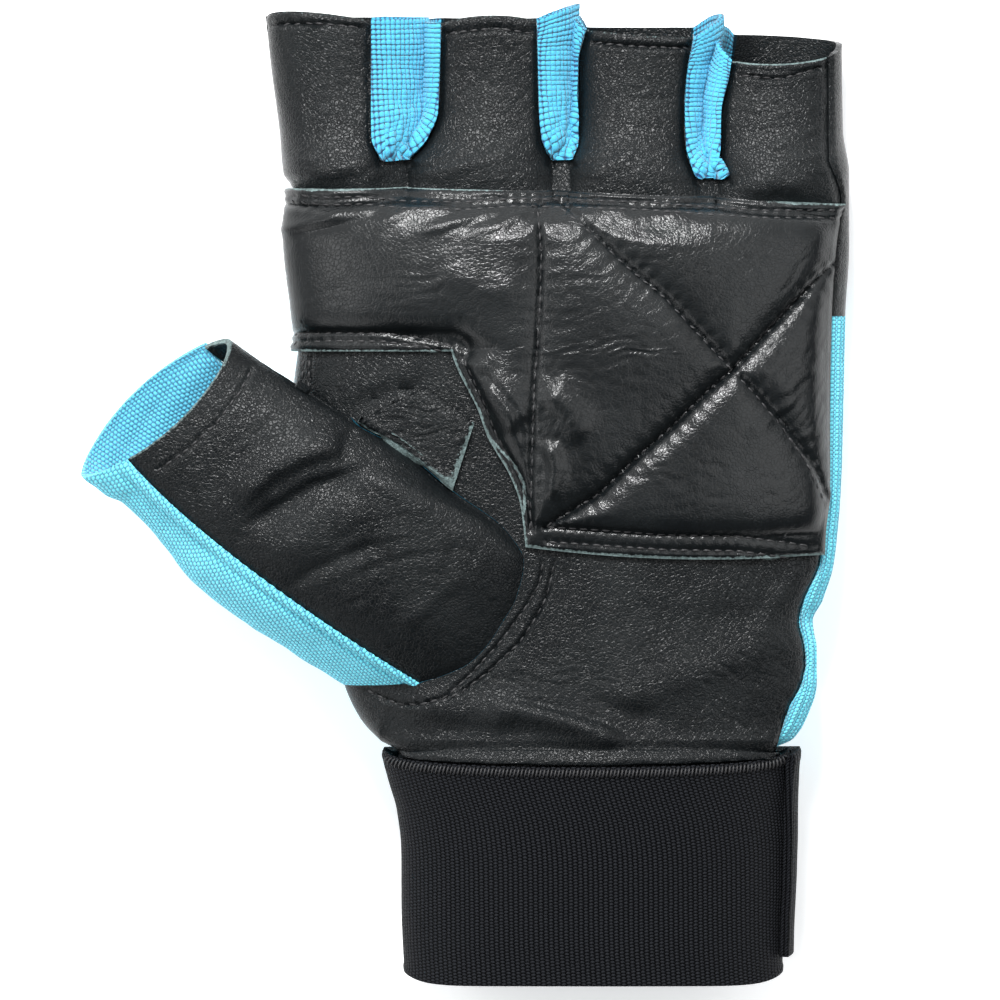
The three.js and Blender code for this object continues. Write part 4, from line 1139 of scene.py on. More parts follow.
THENAR_ROWS = (
    ((-4.4, 37.6), (-5.2, 33), (-8.2, 28), (-13, 21.6), (-19, 15), (-24, 10.6),
     (-28, 9.4), (-32, 9), (-36, 10.2), (-40, 12.2)),
    ((-2.2, 37.2), (-3.6, 30.8), (-6, 26.2), (-9, 21.6), (-15.6, 15.4), (-20.2, 12),
     (-24, 10)),
)
SIDE_ROWS = (((-52.4, 78.4), (-52.8, 71.0)), ((-51.1, 78.4), (-51.4, 71.0)))
HEM_ROWS = (
    ((-59, 145.2), (-50, 145.4), (-40.5, 144.6)),
    ((-23.6, 143.4), (-14, 144.4), (-7, 143.4)),
    ((5.6, 141.6), (14, 140.8), (24.6, 140.4)),
    ((35, 135), (43, 134.2), (51, 136.4)),
)
PALM_FOLDS = (
    Fold(((-13.5, 9), (-4, 6.8), (4.2, 4.4), (10, 2.6), (13.6, -1)), 1.7, 0.9),
    Fold(((-12, 10.6), (-3, 9), (6, 6.4), (12, 4.2)), 0.8, -0.45),
    Fold(((4, 10.5), (12, 7.8), (20, 6)), 1.6, -0.35),
    Fold(((-36, 9.5), (-26, 7.5), (-18, 6.8)), 1.6, 0.4),
    Fold(((-43.5, 67.4), (-38, 70.4), (-32, 72.2), (-26, 73.4)), 1.2, -1.1),
    Fold(((35, 111.5), (42, 113.4), (50, 112)), 2.4, 0.9),
    Fold(((39, 119), (46, 122.5), (53, 125.5)), 0.7, 0.22),
    Fold(((42, 117), (48, 118.4), (53, 119)), 0.7, 0.22),
    Fold(((-24, 116), (-12, 120), (-5, 126)), 1.2, 0.3),
    Fold(((-30, 114.5), (-18, 117), (-8, 119)), 1, 0.28),
    Fold(((2, 113.6), (10, 117), (16, 122.5)), 1.4, 0.3),
    Fold(((-54, 114), (-44, 116), (-36, 120)), 1.3, 0.3),
)
PALM_CRUMPLES = (
    Crumple((-45, 126), (13, 20), 4, 1.5, 0.1, 11),
    Crumple((-13, 126), (12, 22), 32, 1.5, 0.13, 12),
    Crumple((14, 124), (13, 20), 8, 1.4, 0.13, 13),
    Crumple((42, 124), (13, 18), 18, 1.4, 0.12, 14),
    Crumple((2, 115), (18, 5), 12, 1.1, 0.14, 15),
    Crumple((-27, 116), (14, 6), 16, 1.1, 0.12, 16),
    Crumple((38, 18), (17, 20), -38, 1.5, 0.13, 17),
    Crumple((0, 18), (22, 14), -14, 1.7, 0.09, 18),
    Crumple((-35, 73), (14, 7), 12, 1.2, 0.16, 19),
    Crumple((-30, 8), (14, 7), -12, 1.3, 0.1, 20),
)


@dataclass
class HandPanels:
    """The palm, the back and the side strip of the glove."""

    form: HandForm
    leather: float = 1.2
    fabric: float = 1.1
    hem: float = 2.2
    hem_pull: float = 0.25
    thread_pull: float = 0.62
    thread_half: float = 0.45
    cuff_swell: float = 2.9
    cuff_reach: float = 3.2
    turned_edge: float = 0.55
    rim_fall: float = 0.35
    cell_width: float = 3.6
    cell_length: float = 4.6

    def __post_init__(self) -> None:
        """Lays out both grids."""
        self.palm = HandSide(self.form, Side.PALM, 6, 5, 5, 5, 2, 3)
        self.back = HandSide(self.form, Side.BACK, 4, 4, 4, 3, 1, 2)

    def cloth(self, name: str, grid: HandSide, panels: tuple[int, ...], r: Grid, c: Grid) -> Cloth:
        """Lays one panel's grid over the form.

        Args:
            name: the piece's name.
            grid: the side of the hand.
            panels: the numbers of the cells that belong to it.
            r: its rows.
            c: its columns.

        Returns:
            The grid of the panel.
        """
        rr, cc = np.meshgrid(r, c, indexing="ij")
        middle_r, middle_c = np.meshgrid((r[1:] + r[:-1]) / 2, (c[1:] + c[:-1]) / 2, indexing="ij")
        keep = np.isin(grid.cell_panel(middle_r, middle_c), panels)
        points = grid.points(rr, cc)
        return Cloth(name, points, keep, 1 if grid.side is Side.PALM else -1, lengths(points))

    def palm_leather(self) -> Cloth:
        """Builds the palm's leather with its folds, hems and the rims of the fingers."""
        grid = self.palm
        r = steps([8, 16, 10] + [8] * 6 + [4] * 14 + [8] * 8, (grid.rows,))
        c = steps([7] * int(grid.starts[7]), (3,) + tuple(int(s) for s in grid.starts[1:8]))
        cloth = self.cloth("palm_leather_hide", grid, (1,), r, c)
        x, y = cloth.points[..., 0], cloth.points[..., 1]
        height = leather_relief(x, y, 1, 0.8)
        height = height + seam_relief(x, y, (*THENAR_ROWS, *SIDE_ROWS, *HEM_ROWS),
            self.thread_pull, half=self.thread_half)
        for item in (*PALM_FOLDS, *PALM_CRUMPLES):
            height = height + item.lift(x, y)
        cuff = y - WristBand.front_edge(x)
        swell = smooth((cuff + 0.15) / 0.9) * peak(np.maximum(cuff - 1.2, 0), self.cuff_reach)
        height = height * smooth(cuff / 1.5) + self.cuff_swell * swell
        rr, cc = np.meshgrid(r, c, indexing="ij")
        down = np.zeros_like(height)
        # The turned edges along the gussets and the outer strip.
        for k in range(3):
            for line in (grid.starts[2 * k + 1], grid.starts[2 * k + 2]):
                near = np.abs(cc - line) * self.cell_width
                leg = rr >= self.form.crotch_rows[k] - 0.4
                down = np.maximum(down, np.where(leg, peak(near, 0.8), 0))
        edge = (grid.starts[7] - cc) * 3.4
        down = np.maximum(down, peak(edge, 0.9))
        top = (grid.rows - rr) * self.cell_length
        hem = peak(top - self.hem, 0.55)
        inner = smooth(cc / 2.0)
        pulled = self.turned_edge * down + self.hem_pull * hem + self.rim_fall * peak(top, 0.5)
        cloth.lift(height * inner - pulled)
        little = cc >= grid.starts[6]
        cloth.raw = np.where(rr > grid.rows - 0.12, np.where(little, 1.0, 0.35), 0.0)
        return cloth

    def back_leather(self) -> Cloth:
        """Builds the leather over the knuckles and the backs of the fingers."""
        grid = self.back
        r = steps([4] * grid.rows)
        cloth = self.cloth("back_leather_hide", grid, (1,), r, steps([5] * int(grid.starts[7])))
        self.calm_lift(cloth, 41, 0.6)
        return cloth

    def calm_lift(self, cloth: Cloth, seed: int, amount: float) -> None:
        """Adds leather's own unevenness to a hidden panel, with none at its borders."""
        x, y, z = (cloth.points[..., k] for k in range(3))
        rows, columns = x.shape
        window = np.minimum.outer(np.ones(rows),
            np.minimum(np.arange(columns), np.arange(columns)[::-1]) / 5.0)
        cloth.lift(leather_relief(x, y, seed, amount) * np.clip(window, 0, 1) * smooth(z / 1.5))

    def back_fabric(self) -> Piece:
        """Builds the blue back with the strip that wraps round to the palm side."""
        r = steps([8] * self.form.strip_low)
        back = self.cloth("back_fabric_knit", self.back, (3,), r, steps([4] * self.back.columns))
        self.calm_lift(back, 51, 0.4)
        c = steps([14] * self.palm.strip) + self.palm.starts[7]
        wrap = self.cloth("wrap", self.palm, (3,), r, c)
        wrap.uv = wrap.uv + np.array((60.0, 0.0))
        away = np.broadcast_to(c - self.palm.starts[7], wrap.points.shape[:2])
        inner = smooth(away / 0.3) * smooth((2 - away) / 0.2)
        x, y = wrap.points[..., 0], wrap.points[..., 1]
        ribs = 0.16 * np.cos(2 * math.pi * away / 0.5) + 0.12 * noise(x / 2, y / 2.2, 52)
        wrap.lift(ribs * inner)
        return join([back.mesh(), wrap.mesh()])

    def side_strip(self) -> Piece:
        """Builds the leather strip down the outer side of the little finger."""
        r = steps([6] * self.palm.rows)
        c = steps([8] * self.palm.strip) + self.palm.starts[7]
        front = self.cloth("side_strip_hide", self.palm, (2,), r, c)
        away = np.broadcast_to(c - self.palm.starts[7], front.points.shape[:2])
        pleat = 0.5 + 0.5 * np.cos(2 * math.pi * front.points[..., 1] / 1.5)
        front.lift((0.22 * pleat * peak(away - 0.45, 0.3) - 0.35 * peak(away, 0.2))
                   * smooth((2 - away) / 0.3))
        rear = self.cloth("rear", self.back, (2,), r, steps([10]) + self.back.starts[7])
        return join([front.mesh(), rear.mesh()])


@dataclass
class Gusset:
    """A folded blue gusset between two fingers."""

    panels: HandPanels
    slot: int
    name: str
    tip: float = 0.0
    pleat: float = 0.35
    lifts: tuple[float, ...] = (5.6, 3.2, 1.2, 0.0)
    seam_gap: float = 0.3
    loop: tuple[float, float] = (1.02, 0.94)
    knot: float = 0.2
    sway: float = 0.45

    def path(self, grid: HandSide, s: Grid) -> tuple[Grid, Grid, Grid]:
        """Walks round the slot's seam.

        Args:
            grid: the palm or the back.
            s: cells from the first finger's rim.

        Returns:
            The points, the rows above the crotch, and which leg each is on, from -1 to 1.
        """
        low = self.panels.form.crotch_rows[self.slot]
        start = grid.starts[2 * self.slot + 1]
        leg = grid.rows - low
        row = np.where(s < leg, grid.rows - s, np.where(s > leg + 2, low + s - leg - 2, low))
        column = start + np.clip(s - leg, 0, 2)
        return grid.points(row, column), row - low, np.clip(s - leg, 0, 2) - 1

    def cloth(self) -> Cloth:
        """Builds the folded surface with its loops of knit."""
        form = self.panels.form
        low = form.crotch_rows[self.slot]
        leg = self.panels.palm.rows - low
        s = np.linspace(0, 2 * leg + 2, (2 * leg + 2) * 16 + 1)
        t = np.linspace(0, 1, 85)
        front, above, way = self.path(self.panels.palm, s)
        rear, _, _ = self.path(self.panels.back, s)
        lift = np.interp(above, np.arange(4), self.lifts)[:, None]
        share = ((1 - np.cos(math.pi * t)) / 2)[None, :]
        out = np.sin(math.pi * t)[None, :]
        p = mix(front[:, None], rear[:, None], share[..., None])
        rim = smooth((above - leg + 1.6) / 1.6)[:, None]
        level = p[..., 1] + lift * out + self.tip * rim * out
        fold = form.slots[self.slot].read(level / form.hand_length, "fold") * form.palm_width
        target = fold + way[:, None] * self.seam_gap * 0.7
        p[..., 0] = mix(p[..., 0], target, out)
        p[..., 1] = level
        cloth = Cloth(self.name, p, None, 1)
        cloth.uv = lengths(p)[..., ::-1]
        u, v = cloth.uv[..., 0], cloth.uv[..., 1]
        knots = np.abs(np.cos(math.pi * u / self.loop[0])) * np.abs(np.cos(math.pi
            * v / self.loop[1]))
        gather = peak(above, 2.2)[:, None]
        crimp = noise(v / 1.6, u / 4.0, 70 + self.slot) * self.pleat * (0.25 + 1.6 * gather)
        wave = noise(u / 6.0, v / 9.0, 75 + self.slot) * self.sway
        edge = np.minimum(1, np.minimum(share, 1 - share) * 60)
        cloth.lift((self.knot * knots + crimp + wave) * edge)
        return cloth


@dataclass
class ThumbStall:
    """The thumb's stall: a tube that leaves the hand's seam and ends in the open mouth."""

    panels: HandPanels
    centre: tuple[float, float, float] = (-0.74, 0.468, 0.86)
    half_width: float = 20.0
    half_depth: float = 9.6
    across: tuple[float, float, float] = (0.731, 0.683, 0.0)
    axis: tuple[float, float, float] = (-0.78, 0.56, 0.28)
    overlap: float = 2.6
    web: float = -28
    crotch: float = 4
    seam: float = 127
    heel: float = 176
    mouth_pull: float = 0.9
    edge_fall: float = 0.5
    upper_fall: float = 0.4
    seam_fall: float = 0.1
    welt: float = 0.45
    groove: float = 0.4
    hem_roll: float = 0.7
    base_pull: float = 0.75
    departures: Table = field(default_factory=lambda: Table("x y z", (
        (-28, 0.78, -0.56, -0.28), (60, 0.8, -0.56, 0.05), (127, 0.66, -0.76, 0.05),
        (176, 0.64, -0.76, -0.1), (230, 0.7, -0.65, -0.35), (332, 0.78, -0.56, -0.28),
    )))
    arrivals: Table = field(default_factory=lambda: Table("x y z", (
        (-28, 0.8, -0.55, -0.45), (4, 0.8, -0.5, -0.5), (60, 0.85, -0.3, -0.55),
        (100, 0.85, -0.45, -0.5), (127, 0.84, -0.5, -0.35), (176, 0.88, -0.46, -0.12),
        (230, 0.9, -0.35, -0.1), (300, 0.9, -0.4, 0.05), (332, 0.8, -0.55, -0.3),
    )))
    folds: tuple[Fold, ...] = (
        Fold(((-66.5, 48), (-63.9, 50.4), (-58.5, 55.4), (-52.8, 58.4), (-42.1, 61.6)), 1.7, 1.5,
            4),
        Fold(((-64.5, 43.6), (-61.7, 46), (-50.6, 52.7), (-38.6, 56.7)), 2.9, -1.35, 1.2),
        Fold(((-60.5, 37), (-56.3, 39.8), (-45.7, 46), (-33.2, 48.7)), 3.6, 0.7, 4),
        Fold(((-56, 32.6), (-46, 38), (-36, 42)), 1.4, -0.7),
        Fold(((-59, 44), (-53, 48), (-46, 51)), 0.6, -0.16),
        Fold(((-41, 65), (-44, 61), (-44.5, 56)), 1.3, -0.6),
        Fold(((-46, 33), (-36, 37.5), (-24, 40)), 0.8, -0.22),
        Fold(((-50, 36.5), (-40, 42), (-30, 44)), 1.1, 0.25),
        Fold(((-34, 24), (-26, 30), (-20, 36)), 1.6, 0.3),
        Fold(((-42, 55), (-34, 52), (-26, 47)), 2.2, 0.6),
    )
    waist: Table = field(default_factory=lambda: Table("lift", (
        (60, 0), (68, 0.4), (75, 0.8), (83, 0.4), (90.5, -1.2), (98, -2.1), (103.5, -1.6),
        (107, -0.3), (112, 0),
    )))
    hem_row: Line = (
        (-62.6, 76), (-65, 71.4), (-69.6, 65.2), (-75.4, 60), (-81, 56),
    )
    crumples: tuple[Crumple, ...] = (
        Crumple((-62, 62), (14, 12), 40, 1.4, 0.1, 31),
        Crumple((-44, 48), (16, 9), 24, 1.3, 0.14, 32),
        Crumple((-36, 30), (16, 12), 30, 1.5, 0.13, 33),
        Crumple((-20, 42), (12, 14), 60, 1.5, 0.1, 34),
    )

    def rim(self, angle: Grid) -> Grid:
        """Returns the points of the mouth's rim at angles in degrees."""
        form = self.panels.form
        axis, across = (np.array(v) / np.linalg.norm(v) for v in (self.axis, self.across))
        up = np.cross(across, axis)
        up /= np.linalg.norm(up)
        a = np.radians(angle)[..., None]
        unit = np.array((form.palm_width, form.hand_length, form.hand_depth))
        return (np.array(self.centre) * unit + across * self.half_width * np.cos(a)
                + up * self.half_depth * np.sin(a)
                - axis * self.overlap * np.sin(a) * np.abs(np.sin(a)))

    def seam_points(self, parts: int) -> tuple[Grid, Grid, int, int]:
        """Walks round the seam of the thumb on the hand.

        Args:
            parts: points in each cell of the hand's grid.

        Returns:
            The points, their angles round the stall, and the numbers of the points where
            the leather begins and ends.
        """
        form, palm, back = self.panels.form, self.panels.palm, self.panels.back
        high, low = form.thumb_high, form.thumb_low
        points, angles = [], []

        def walk(stops: list[tuple[HandSide, float, float]], first: float, last: float) -> None:
            """Adds one stretch of the seam between two angles."""
            line = []
            for (grid, r1, c1), (_, r2, c2) in zip(stops, stops[1:]):
                n = max(1, int(round(max(abs(r2 - r1), abs(c2 - c1)) * parts)))
                t = np.linspace(0, 1, n + 1)[:-1]
                line.append(grid.points(mix(r1, r2, t), mix(c1, c2, t)))
            grid, r, c = stops[-1]
            line.append(grid.points(np.array([r]), np.array([c])))
            line = np.concatenate(line)
            run = np.concatenate([[0], np.cumsum(np.linalg.norm(np.diff(line, axis=0), axis=1))])
            points.append(line[:-1])
            angles.append(mix(first, last, run / run[-1])[:-1])

        t = palm.thumb
        walk([(palm, high, 0), (palm, high, t)], self.web, self.crotch)
        walk([(palm, high, t), (palm, low, t)], self.crotch, self.seam)
        walk([(palm, low, t), (palm, low, 0)], self.seam, self.heel)
        b = back.thumb
        walk([(back, low, 0), (back, low, b), (back, high, b), (back, high, 0)], self.heel,
            360 + self.web)
        ring, angle = np.concatenate(points), np.concatenate(angles)
        end = len(points[0]) + len(points[1])
        begin = len(ring) - parts
        return ring, angle, begin, end

    def tube(self, parts: int, stations: int) -> tuple[Grid, Grid, int, int]:
        """Lofts the stall from its mouth to the seam.

        Args:
            parts: points in each cell of the hand's grid.
            stations: rows from the mouth to the seam.

        Returns:
            The points by row and ring position, the angles, and the leather's first and last.
        """
        ring, angle, begin, end = self.seam_points(parts)
        rim = self.rim(angle)
        reach = np.linalg.norm(ring - rim, axis=1, keepdims=True)

        def way(table: Table) -> Grid:
            """Returns the unit directions of a table at the ring's angles."""
            d = np.stack([table.read(angle, k) for k in "xyz"], axis=1)
            return d / np.linalg.norm(d, axis=1, keepdims=True)

        start = way(self.departures) * reach * self.mouth_pull
        arrive = way(self.arrivals) * reach * self.base_pull
        t = np.linspace(0, 1, stations + 1) ** 1.15
        t = t[:, None, None]
        p = (rim * (2 * t**3 - 3 * t**2 + 1) + start * (t**3 - 2 * t**2 + t)
             + ring * (3 * t**2 - 2 * t**3) + arrive * (t**3 - t**2))
        return p, angle, begin, end

    def cloths(self) -> tuple[Cloth, Cloth]:
        """Builds the leather of the palm side and the knit of the back."""
        p, _, begin, end = self.tube(10, 112)
        count = p.shape[1]
        leather = np.arange(begin, count + end + 1) % count
        fabric = np.arange(end, begin + 1) % count
        hide = Cloth("thumb_leather_hide", p[:, leather], None, -1)
        self.lift_hide(hide)
        knit = Cloth("thumb_fabric_knit", p[:, fabric], None, -1)
        self.lift_knit(knit)
        return hide, knit

    def lift_hide(self, cloth: Cloth) -> None:
        """Adds the folds of the leather, the hem at the mouth and its raw edge."""
        cloth.points = cloth.points[::-1]
        x, y = cloth.points[..., 0], cloth.points[..., 1]
        cloth.uv = lengths(cloth.points)
        height = leather_relief(x, y, 61, 0.7)
        for item in (*self.folds, *self.crumples):
            height = height + item.lift(x, y)
        across = np.linalg.norm(np.gradient(cloth.points, axis=1), axis=-1)
        ends = np.minimum(np.cumsum(across, 1), np.cumsum(across[:, ::-1], 1)[:, ::-1])
        down = peak(ends, 1.0)
        along = np.linalg.norm(np.gradient(cloth.points, axis=0), axis=-1)
        from_mouth = np.cumsum(along[::-1], 0)[::-1] - along[-1]
        seam = np.cumsum(along, 0) - along[0]
        window = smooth(from_mouth / 4) * smooth(seam / 3) * smooth(ends / 3)
        upper = smooth((cloth.normals()[..., 1] - 0.25) / 0.5) * smooth(seam / 1.8)
        height = height * window + seam_relief(x, y, (self.hem_row,), 0.3) * smooth(ends / 2)
        fall = self.edge_fall * down + self.upper_fall * upper + self.seam_fall * peak(seam, 1.2)
        cloth.lift(height - fall)
        cloth.raw = np.where(from_mouth < 0.5, 0.75 - from_mouth / 2.2, 0.0)

    def lift_knit(self, cloth: Cloth) -> None:
        """Adds the doubled edge of the knit beside the leather."""
        cloth.points = cloth.points[::-1]
        cloth.uv = lengths(cloth.points * np.array((1.0, 1.0, 0.6)))
        x, y = cloth.points[..., 0], cloth.points[..., 1]
        across = np.linalg.norm(np.gradient(cloth.points, axis=1), axis=-1)
        along = np.linalg.norm(np.gradient(cloth.points, axis=0), axis=-1)
        cloth.uv[..., 1] = cloth.points @ (np.array(self.axis) / np.linalg.norm(self.axis))
        mouth = np.cumsum(along[::-1], 0)[::-1] - along[-1]
        near = np.cumsum(across, 1) - across[:, :1]
        welt = self.welt * peak(near - 1.2, 1.0) - self.groove * (peak(near, 0.5)
            + peak(near - 3.2, 0.5))
        jag = 0.16 * np.cos(2 * math.pi * cloth.uv[..., 1] / 1.1) * peak(near, 1.6)
        wave = noise(x / 9, y / 9, 71) * 0.35 + noise(x / 4, y / 4, 72) * 0.12
        hem = self.hem_roll * peak(np.maximum(mouth - 1.0, 0), 2.0)
        waist = self.waist.read(cloth.uv[..., 1], "lift")
        cloth.lift(welt + jag + (wave + waist) * smooth(near / 6) + hem * smooth(near / 3))


@dataclass
class PalmPad:
    """The quilted pad with its raw edge, its stitch grooves and its puckers."""

    panels: HandPanels
    gap: float = 0.75
    seat: float = 0.3
    spare: float = 0.3
    edge: float = 1.2
    rise: float = 2.4
    left: int = 6
    right: int = 19
    low: int = 10
    high: int = 9
    turn: float = 0.5415
    quilt_pull: float = 0.42
    edge_pull: float = 0.36
    pucker: float = 0.14
    curl: float = 0.35
    edge_round: float = 0.45
    foot: tuple[float, float, float] = (0.2762, 0.26, 0.266)
    head: tuple[float, float, float] = (0.767, 0.7571, 0.7442)
    side: Table = field(default_factory=lambda: Table("x", (
        (0.266, -0.07), (0.3333, -0.081), (0.3673, -0.0964), (0.4286, -0.1418),
        (0.4626, -0.1582), (0.5279, -0.2), (0.548, -0.207), (0.765, -0.18),
    )))
    quilt: Sequence[Line] = (
        ((-5.4, 108), (-4.8, 99), (-5, 89.4), (-5.6, 79.8), (-6.2, 73.4), (-6.4, 67), (-7, 44)),
        ((-1, 108.5), (6.2, 102.4), (11.8, 97), (20.2, 90), (27.8, 81.8), (33.2, 76),
         (38, 71), (43.2, 64.6), (48.2, 57.6), (51.4, 50.6)),
        ((52.6, 97), (47.6, 92), (41.8, 85.6), (33.2, 76), (27.8, 71.2), (20.8, 64.2),
         (14.4, 58.6), (6.8, 51.2), (-4, 44.6)),
    )
    pulls: tuple[float, ...] = (0.45, 0.6, 0.95)
    folds: tuple[Fold, ...] = (
        Fold(((-55.5, 103), (-50, 105.5), (-43, 108.6)), 1.4, 0.6),
        Fold(((-50, 103), (-44, 105), (-36, 107.5)), 0.9, -0.3),
        Fold(((-38, 103.8), (-31, 106.2), (-22, 108.2)), 0.9, 0.45),
        Fold(((-30, 102), (-22, 104.6), (-12, 107.2)), 1, 0.5),
        Fold(((-20, 102.6), (-13, 104.2), (-7, 107)), 1.3, 0.5),
        Fold(((1.5, 104.8), (5, 106.4), (14, 107.6)), 1.6, 0.6),
        Fold(((10, 104.5), (17, 106), (26, 107)), 1.4, 0.45),
        Fold(((-36, 84), (-27, 81.6), (-18, 80.2), (-12, 80)), 1.6, -0.9),
        Fold(((-18.5, 77), (-14, 73), (-9.6, 67.6), (-8, 60)), 0.7, -0.4),
        Fold(((-18, 72), (-13, 68.6), (-8.4, 63.4)), 2.6, 1.5, 5),
        Fold(((-4.8, 72.4), (0.2, 68), (3.8, 61)), 2.6, 1.1, 3.8),
        Fold(((-3.6, 62.4), (-2, 56), (-3, 49)), 1.4, 1.1, 2),
        Fold(((40, 70), (44, 73), (48, 78)), 1.6, 0.4),
        Fold(((36, 62), (40, 67), (46, 70)), 1.3, 0.3),
        Fold(((-26, 96), (-16, 92), (-8, 91)), 3, 0.35),
    )
    crumples: tuple[Crumple, ...] = (
        Crumple((10, 78), (16, 14), 2, 1.3, 0.11, 81),
        Crumple((12, 96), (14, 8), 10, 1.2, 0.1, 82),
        Crumple((46, 70), (9, 14), 52, 1.3, 0.16, 83),
        Crumple((44, 92), (10, 9), 40, 1.3, 0.12, 84),
        Crumple((-14, 105), (18, 4), 20, 1.3, 0.1, 85),
        Crumple((-4, 65), (9, 12), 66, 1.1, 0.16, 86),
        Crumple((-30, 90), (18, 9), -12, 2, 0.08, 87),
        Crumple((26, 53), (24, 6), 3, 1.6, 0.12, 88),
    )

    def level(self, row: Grid, i: Grid) -> Grid:
        """Returns the level of the pad's grid, as a share of the hand's length."""

        def bow(ends: tuple[float, float, float], t: Grid) -> Grid:
            """Returns a bowed edge between its ends."""
            first, middle, last = ends
            return mix(first, last, t) + (middle - (first + last) / 2) * 4 * t * (1 - t)

        foot = bow(self.foot, np.clip((i - self.left) / self.right, 0, 1))
        head = bow(self.head, i / (self.left + self.right))
        low = mix(foot, self.turn, row / self.low)
        return np.where(row <= self.low, low, mix(self.turn, head, (row - self.low) / self.high))

    def across(self, i: Grid, y: Grid) -> Grid:
        """Returns the position across of the pad's columns."""
        form, palm = self.panels.form, self.panels.palm
        line = self.side.read(y / form.hand_length, "x") * form.palm_width
        own = palm.hand_x(y, np.minimum(i, palm.thumb))
        seam = palm.hand_x(y, np.full(np.shape(i), float(palm.thumb)))
        far = mix(seam, line, (i - palm.thumb) / (self.left - palm.thumb))
        edge = form.read(y, "edge") - 0.3
        right = mix(line, edge, (i - self.left) / self.right)
        return np.where(i <= palm.thumb, own, np.where(i <= self.left, far, right))

    def edge_rows(self) -> Sequence[Line]:
        """Returns the two stitch lines inside the raw edge, in millimetres."""
        top = [(-55.4, 111.1), (-47, 110.4), (-40, 110.6), (-32, 109.8), (-20, 109.5),
               (-10, 110.2), (0, 110), (16, 109.5), (28, 108.6), (40, 107.9),
               (55.4, 107.9)]
        low = [(-55, 83), (-46, 83.4), (-36, 83.2), (-28, 82.2), (-22.4, 80.6)]
        slant = [(-20.4, 78.4), (-15.9, 68.8), (-14.1, 63.8), (-9.2, 54.8), (-7.4, 49.6),
            (-6.5, 44)]
        foot = [(-4, 44.6), (9.2, 43.8), (20, 43), (34, 42.8), (49, 40.8)]
        rows = [top, [(x, y - 1.5) for x, y in top], low, [(x, y - 1.6) for x, y in low]]
        rows += [slant, foot, [(x + 0.4, y - 3.0) for x, y in foot]]
        return rows

    def edges(self) -> dict[str, Line]:
        """Returns the pad's own borders as broken lines in millimetres."""
        length = self.panels.form.hand_length
        count, rows = self.left + self.right, self.low + self.high

        def line(j: Grid, i: Grid) -> Line:
            """Returns the points of one border."""
            j, i = np.broadcast_arrays(np.asarray(j, float), np.asarray(i, float))
            y = self.level(j, i) * length
            return list(zip(self.across(i, y).tolist(), y.tolist()))

        return {
            "top": line(rows, np.arange(0, count + 1)),
            "foot": line(0, np.arange(self.left, count + 1)),
            "slant": line(np.arange(0, self.low + 1), self.left),
            "low": line(self.low, np.arange(0, self.left + 1)),
        }

    def puff(self, x: Grid, y: Grid, edge: dict[str, Grid], sides: Grid) -> Grid:
        """Returns how full the pad is: 0 where it is sewn flat and 1 in the panels.

        Args:
            x: positions across in mm.
            y: positions along in mm.
            edge: distances from the borders in mm.
            sides: distances from the left and right ends in mm.

        Returns:
            The share of the pad's rise.
        """
        panel = np.ones(x.shape)
        for share, line in zip(self.pulls, self.quilt):
            panel = np.minimum(panel, 1 - share * np.exp(-line_distance(x, y, line)[0] / 2.1))
        wide = smooth((x + 24) / 8) * smooth((30 - x) / 14)
        ramp = np.clip((edge["top"] - 3.4) / 7.0, 0, 1)
        ramp = mix(1 - np.exp(-np.maximum(edge["top"] - 3.2, 0) / 1.9), ramp, wide)
        for name, flat, soft in (("foot", 4.6, 1.8), ("slant", 1.5, 1.6), ("low", 3.6, 1.7)):
            ramp = np.minimum(ramp, 1 - np.exp(-np.maximum(edge[name] - flat, 0) / soft))
        return np.minimum(panel, ramp) * (1 - peak(sides, 3.0))

    def raw_mask(self, x: Grid, y: Grid, edge: dict[str, Grid]) -> Grid:
        """Returns where the pale raw edge shows.

        Args:
            x: positions across in mm.
            y: positions along in mm.
            edge: distances from the borders in mm.

        Returns:
            The mask, from 0 to 1.
        """
        shown = {
            "top": np.interp(x, (-56, -39, -30, -17, -8, 38, 44, 56),
                (1, 1, 0.8, 0.72, 0.1, 0.1, 0.74, 0.8)),
            "foot": np.interp(x, (-8, 0, 24, 34, 50), (0.9, 1, 1, 0.8, 0.9)),
            "slant": np.full(x.shape, 0.8),
            "low": np.full(x.shape, 0.68),
        }
        width = {"top": 0.34, "foot": 0.5, "slant": 0.5, "low": 0.34}
        ragged = 0.5 * noise(x / 0.8, y / 0.8, 25) + 0.5 * noise(x / 3, y / 3, 26)
        total = np.zeros(x.shape)
        for name, share in shown.items():
            away = edge[name] + 0.3 * ragged
            total = np.maximum(total, share * np.clip(1.5 - away / width[name], 0, 1))
        run = np.clip((y - 47.0) / (62.4 - 47.0), 0, 1)
        lens = 1.7 * np.sin(math.pi * run) + 0.2
        second = peak(edge["slant"] - lens, 0.35) * (run > 0.02) * (run < 0.98)
        return np.maximum(total, 0.9 * second)

